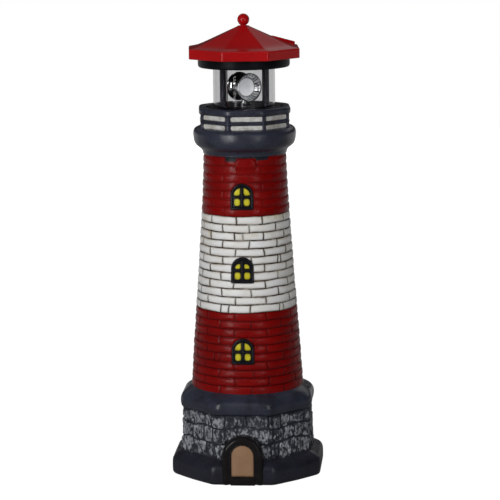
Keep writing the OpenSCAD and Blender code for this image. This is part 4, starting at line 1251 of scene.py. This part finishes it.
fm.link(fm.math("ADD", seen, mirrored), em.inputs["Strength"])
ad = fm.n("AddShader")
fm.link(fm.p.outputs[0], ad.inputs[0])
fm.link(em.outputs[0], ad.inputs[1])
fm.link(ad.outputs[0], fm.out.inputs[0])
floor.data.materials.append(fm.m)

DIFF_L, DIFF_R = 0.30, 0.06
world = bpy.data.worlds.new("studio")
bpy.context.scene.world = world
world.use_nodes = True
wt = world.node_tree
wt.nodes.clear()
wo = wt.nodes.new("ShaderNodeOutputWorld")
bg = wt.nodes.new("ShaderNodeBackground")
tcw = wt.nodes.new("ShaderNodeTexCoord")
sepw = wt.nodes.new("ShaderNodeSeparateXYZ")
lpw = wt.nodes.new("ShaderNodeLightPath")
wt.links.new(tcw.outputs["Generated"], sepw.inputs[0])


def wmath(op, a, b=None):
    m = wt.nodes.new("ShaderNodeMath")
    m.operation = op
    for i, v in enumerate((a, b)):
        if isinstance(v, (int, float)):
            m.inputs[i].default_value = v
        elif v is not None:
            wt.links.new(v, m.inputs[i])
    return m.outputs[0]


def wrng(v, f0, f1, t0, t1):
    m = wt.nodes.new("ShaderNodeMapRange")
    m.interpolation_type = "SMOOTHSTEP"
    for k, x in (("From Min", f0), ("From Max", f1), ("To Min", t0), ("To Max", t1)):
        m.inputs[k].default_value = x
    wt.links.new(v, m.inputs["Value"])
    return m.outputs[0]


def wmix(f, a, b):
    m = wt.nodes.new("ShaderNodeMix")
    m.data_type = "FLOAT"
    for sock, v in ((m.inputs[0], f), (m.inputs[2], a), (m.inputs[3], b)):
        if isinstance(v, (int, float)):
            sock.default_value = v
        else:
            wt.links.new(v, sock)
    return m.outputs[0]


X, Y, Z = sepw.outputs
# what mirrors see: a bright backdrop behind, a dim room in front and above
back = wmath("MULTIPLY", wrng(Y, 0.35, 0.85, 0.0, 1.0), wrng(Z, 0.0, 0.07, 1.0, 0.0))
high = wmath("MULTIPLY", wmath("MULTIPLY", wrng(X, -0.16, 0.12, 0.2, 1.0), wrng(Y, 0.35, 0.6, 0.0, 1.0)), wmath("MULTIPLY", wrng(Z, 0.22, 0.34, 0.0, 1.0), wrng(Z, 0.40, 0.72, 1.0, 0.12)))
room = wmath("ADD", wrng(X, -1.0, -0.3, 0.045, 0.0), 0.014)
mirror_w = wmath("ADD", wmath("ADD", wmath("MULTIPLY", back, 0.10), wmath("MULTIPLY", high, 0.52)), room)
# what lights the matt surfaces: soft, stronger from the left and from the horizon
soft = wmath("MULTIPLY", wmath("MULTIPLY", wrng(X, -1.0, 1.0, DIFF_L, DIFF_R), wrng(Y, -1.0, 0.4, 1.46, 0.85)), wrng(Z, 0.0, 1.0, 1.0, 0.45))
env = wmix(wmath("MINIMUM", lpw.outputs["Diffuse Depth"], 1.0), mirror_w, soft)
env = wmix(lpw.outputs["Is Camera Ray"], env, 1.0)
wt.links.new(env, bg.inputs["Strength"])
bg.inputs["Color"].default_value = (1, 1, 1, 1)
wt.links.new(bg.outputs[0], wo.inputs[0])


def area(name, az, el, dist, w, h, power, target=(0, 0, 0.22)):
    """A soft panel at azimuth az (degrees from the camera's side, -Y, towards +X) and elevation el."""
    l = bpy.data.lights.new(name, "AREA")
    l.shape, l.size, l.size_y, l.energy = "RECTANGLE", w, h, power
    o = bpy.data.objects.new(name, l)
    bpy.context.scene.collection.objects.link(o)
    t = Vector(target)
    o.location = t + Vector((math.sin(az * DEG) * math.cos(el * DEG), -math.cos(az * DEG) * math.cos(el * DEG), math.sin(el * DEG))) * dist
    o.rotation_euler = (t - o.location).to_track_quat("-Z", "Y").to_euler()
    return o


area("box_left", -32, 9.5, 1.7, 0.36, 1.15, 9.6)
area("box_right", 33, 9.5, 1.7, 0.32, 1.15, 2.7)
fill_l = area("front_fill", 4, 34, 2.4, 1.6, 1.0, 20.0)
fill_l.visible_glossy = False
area("front_sheen", 4, 34, 2.4, 1.6, 1.3, 3.6)
back_l = area("back_fill", 184, 0, 2.6, 1.8, 0.5, 16.0)
back_l.visible_camera = back_l.visible_glossy = back_l.visible_transmission = False

cam_d = bpy.data.cameras.new("camera")
cam = bpy.data.objects.new("camera", cam_d)
bpy.context.scene.collection.objects.link(cam)
CAM_AZ, PITCH, ROLL = 4.7, 9.80, 0.7
cam.location = (2.2 * math.sin(CAM_AZ * DEG), -2.2 * math.cos(CAM_AZ * DEG), 0.590)
fwd = Vector((-math.sin(CAM_AZ * DEG) * math.cos(PITCH * DEG), math.cos(CAM_AZ * DEG) * math.cos(PITCH * DEG), -math.sin(PITCH * DEG)))
rot = fwd.to_track_quat("-Z", "Y").to_matrix().to_4x4() @ Matrix.Rotation(-ROLL * DEG, 4, "Z")
cam.rotation_euler = rot.to_euler()
cam_d.sensor_width = 36.0
cam_d.lens = 2374.0 / 500.0 * 36.0
cam_d.shift_x = 0.0078
cam_d.clip_start, cam_d.clip_end = 0.05, 60
bpy.context.scene.camera = cam
bpy.context.scene.view_settings.view_transform = "Standard"
bpy.context.scene.view_settings.look = "None"
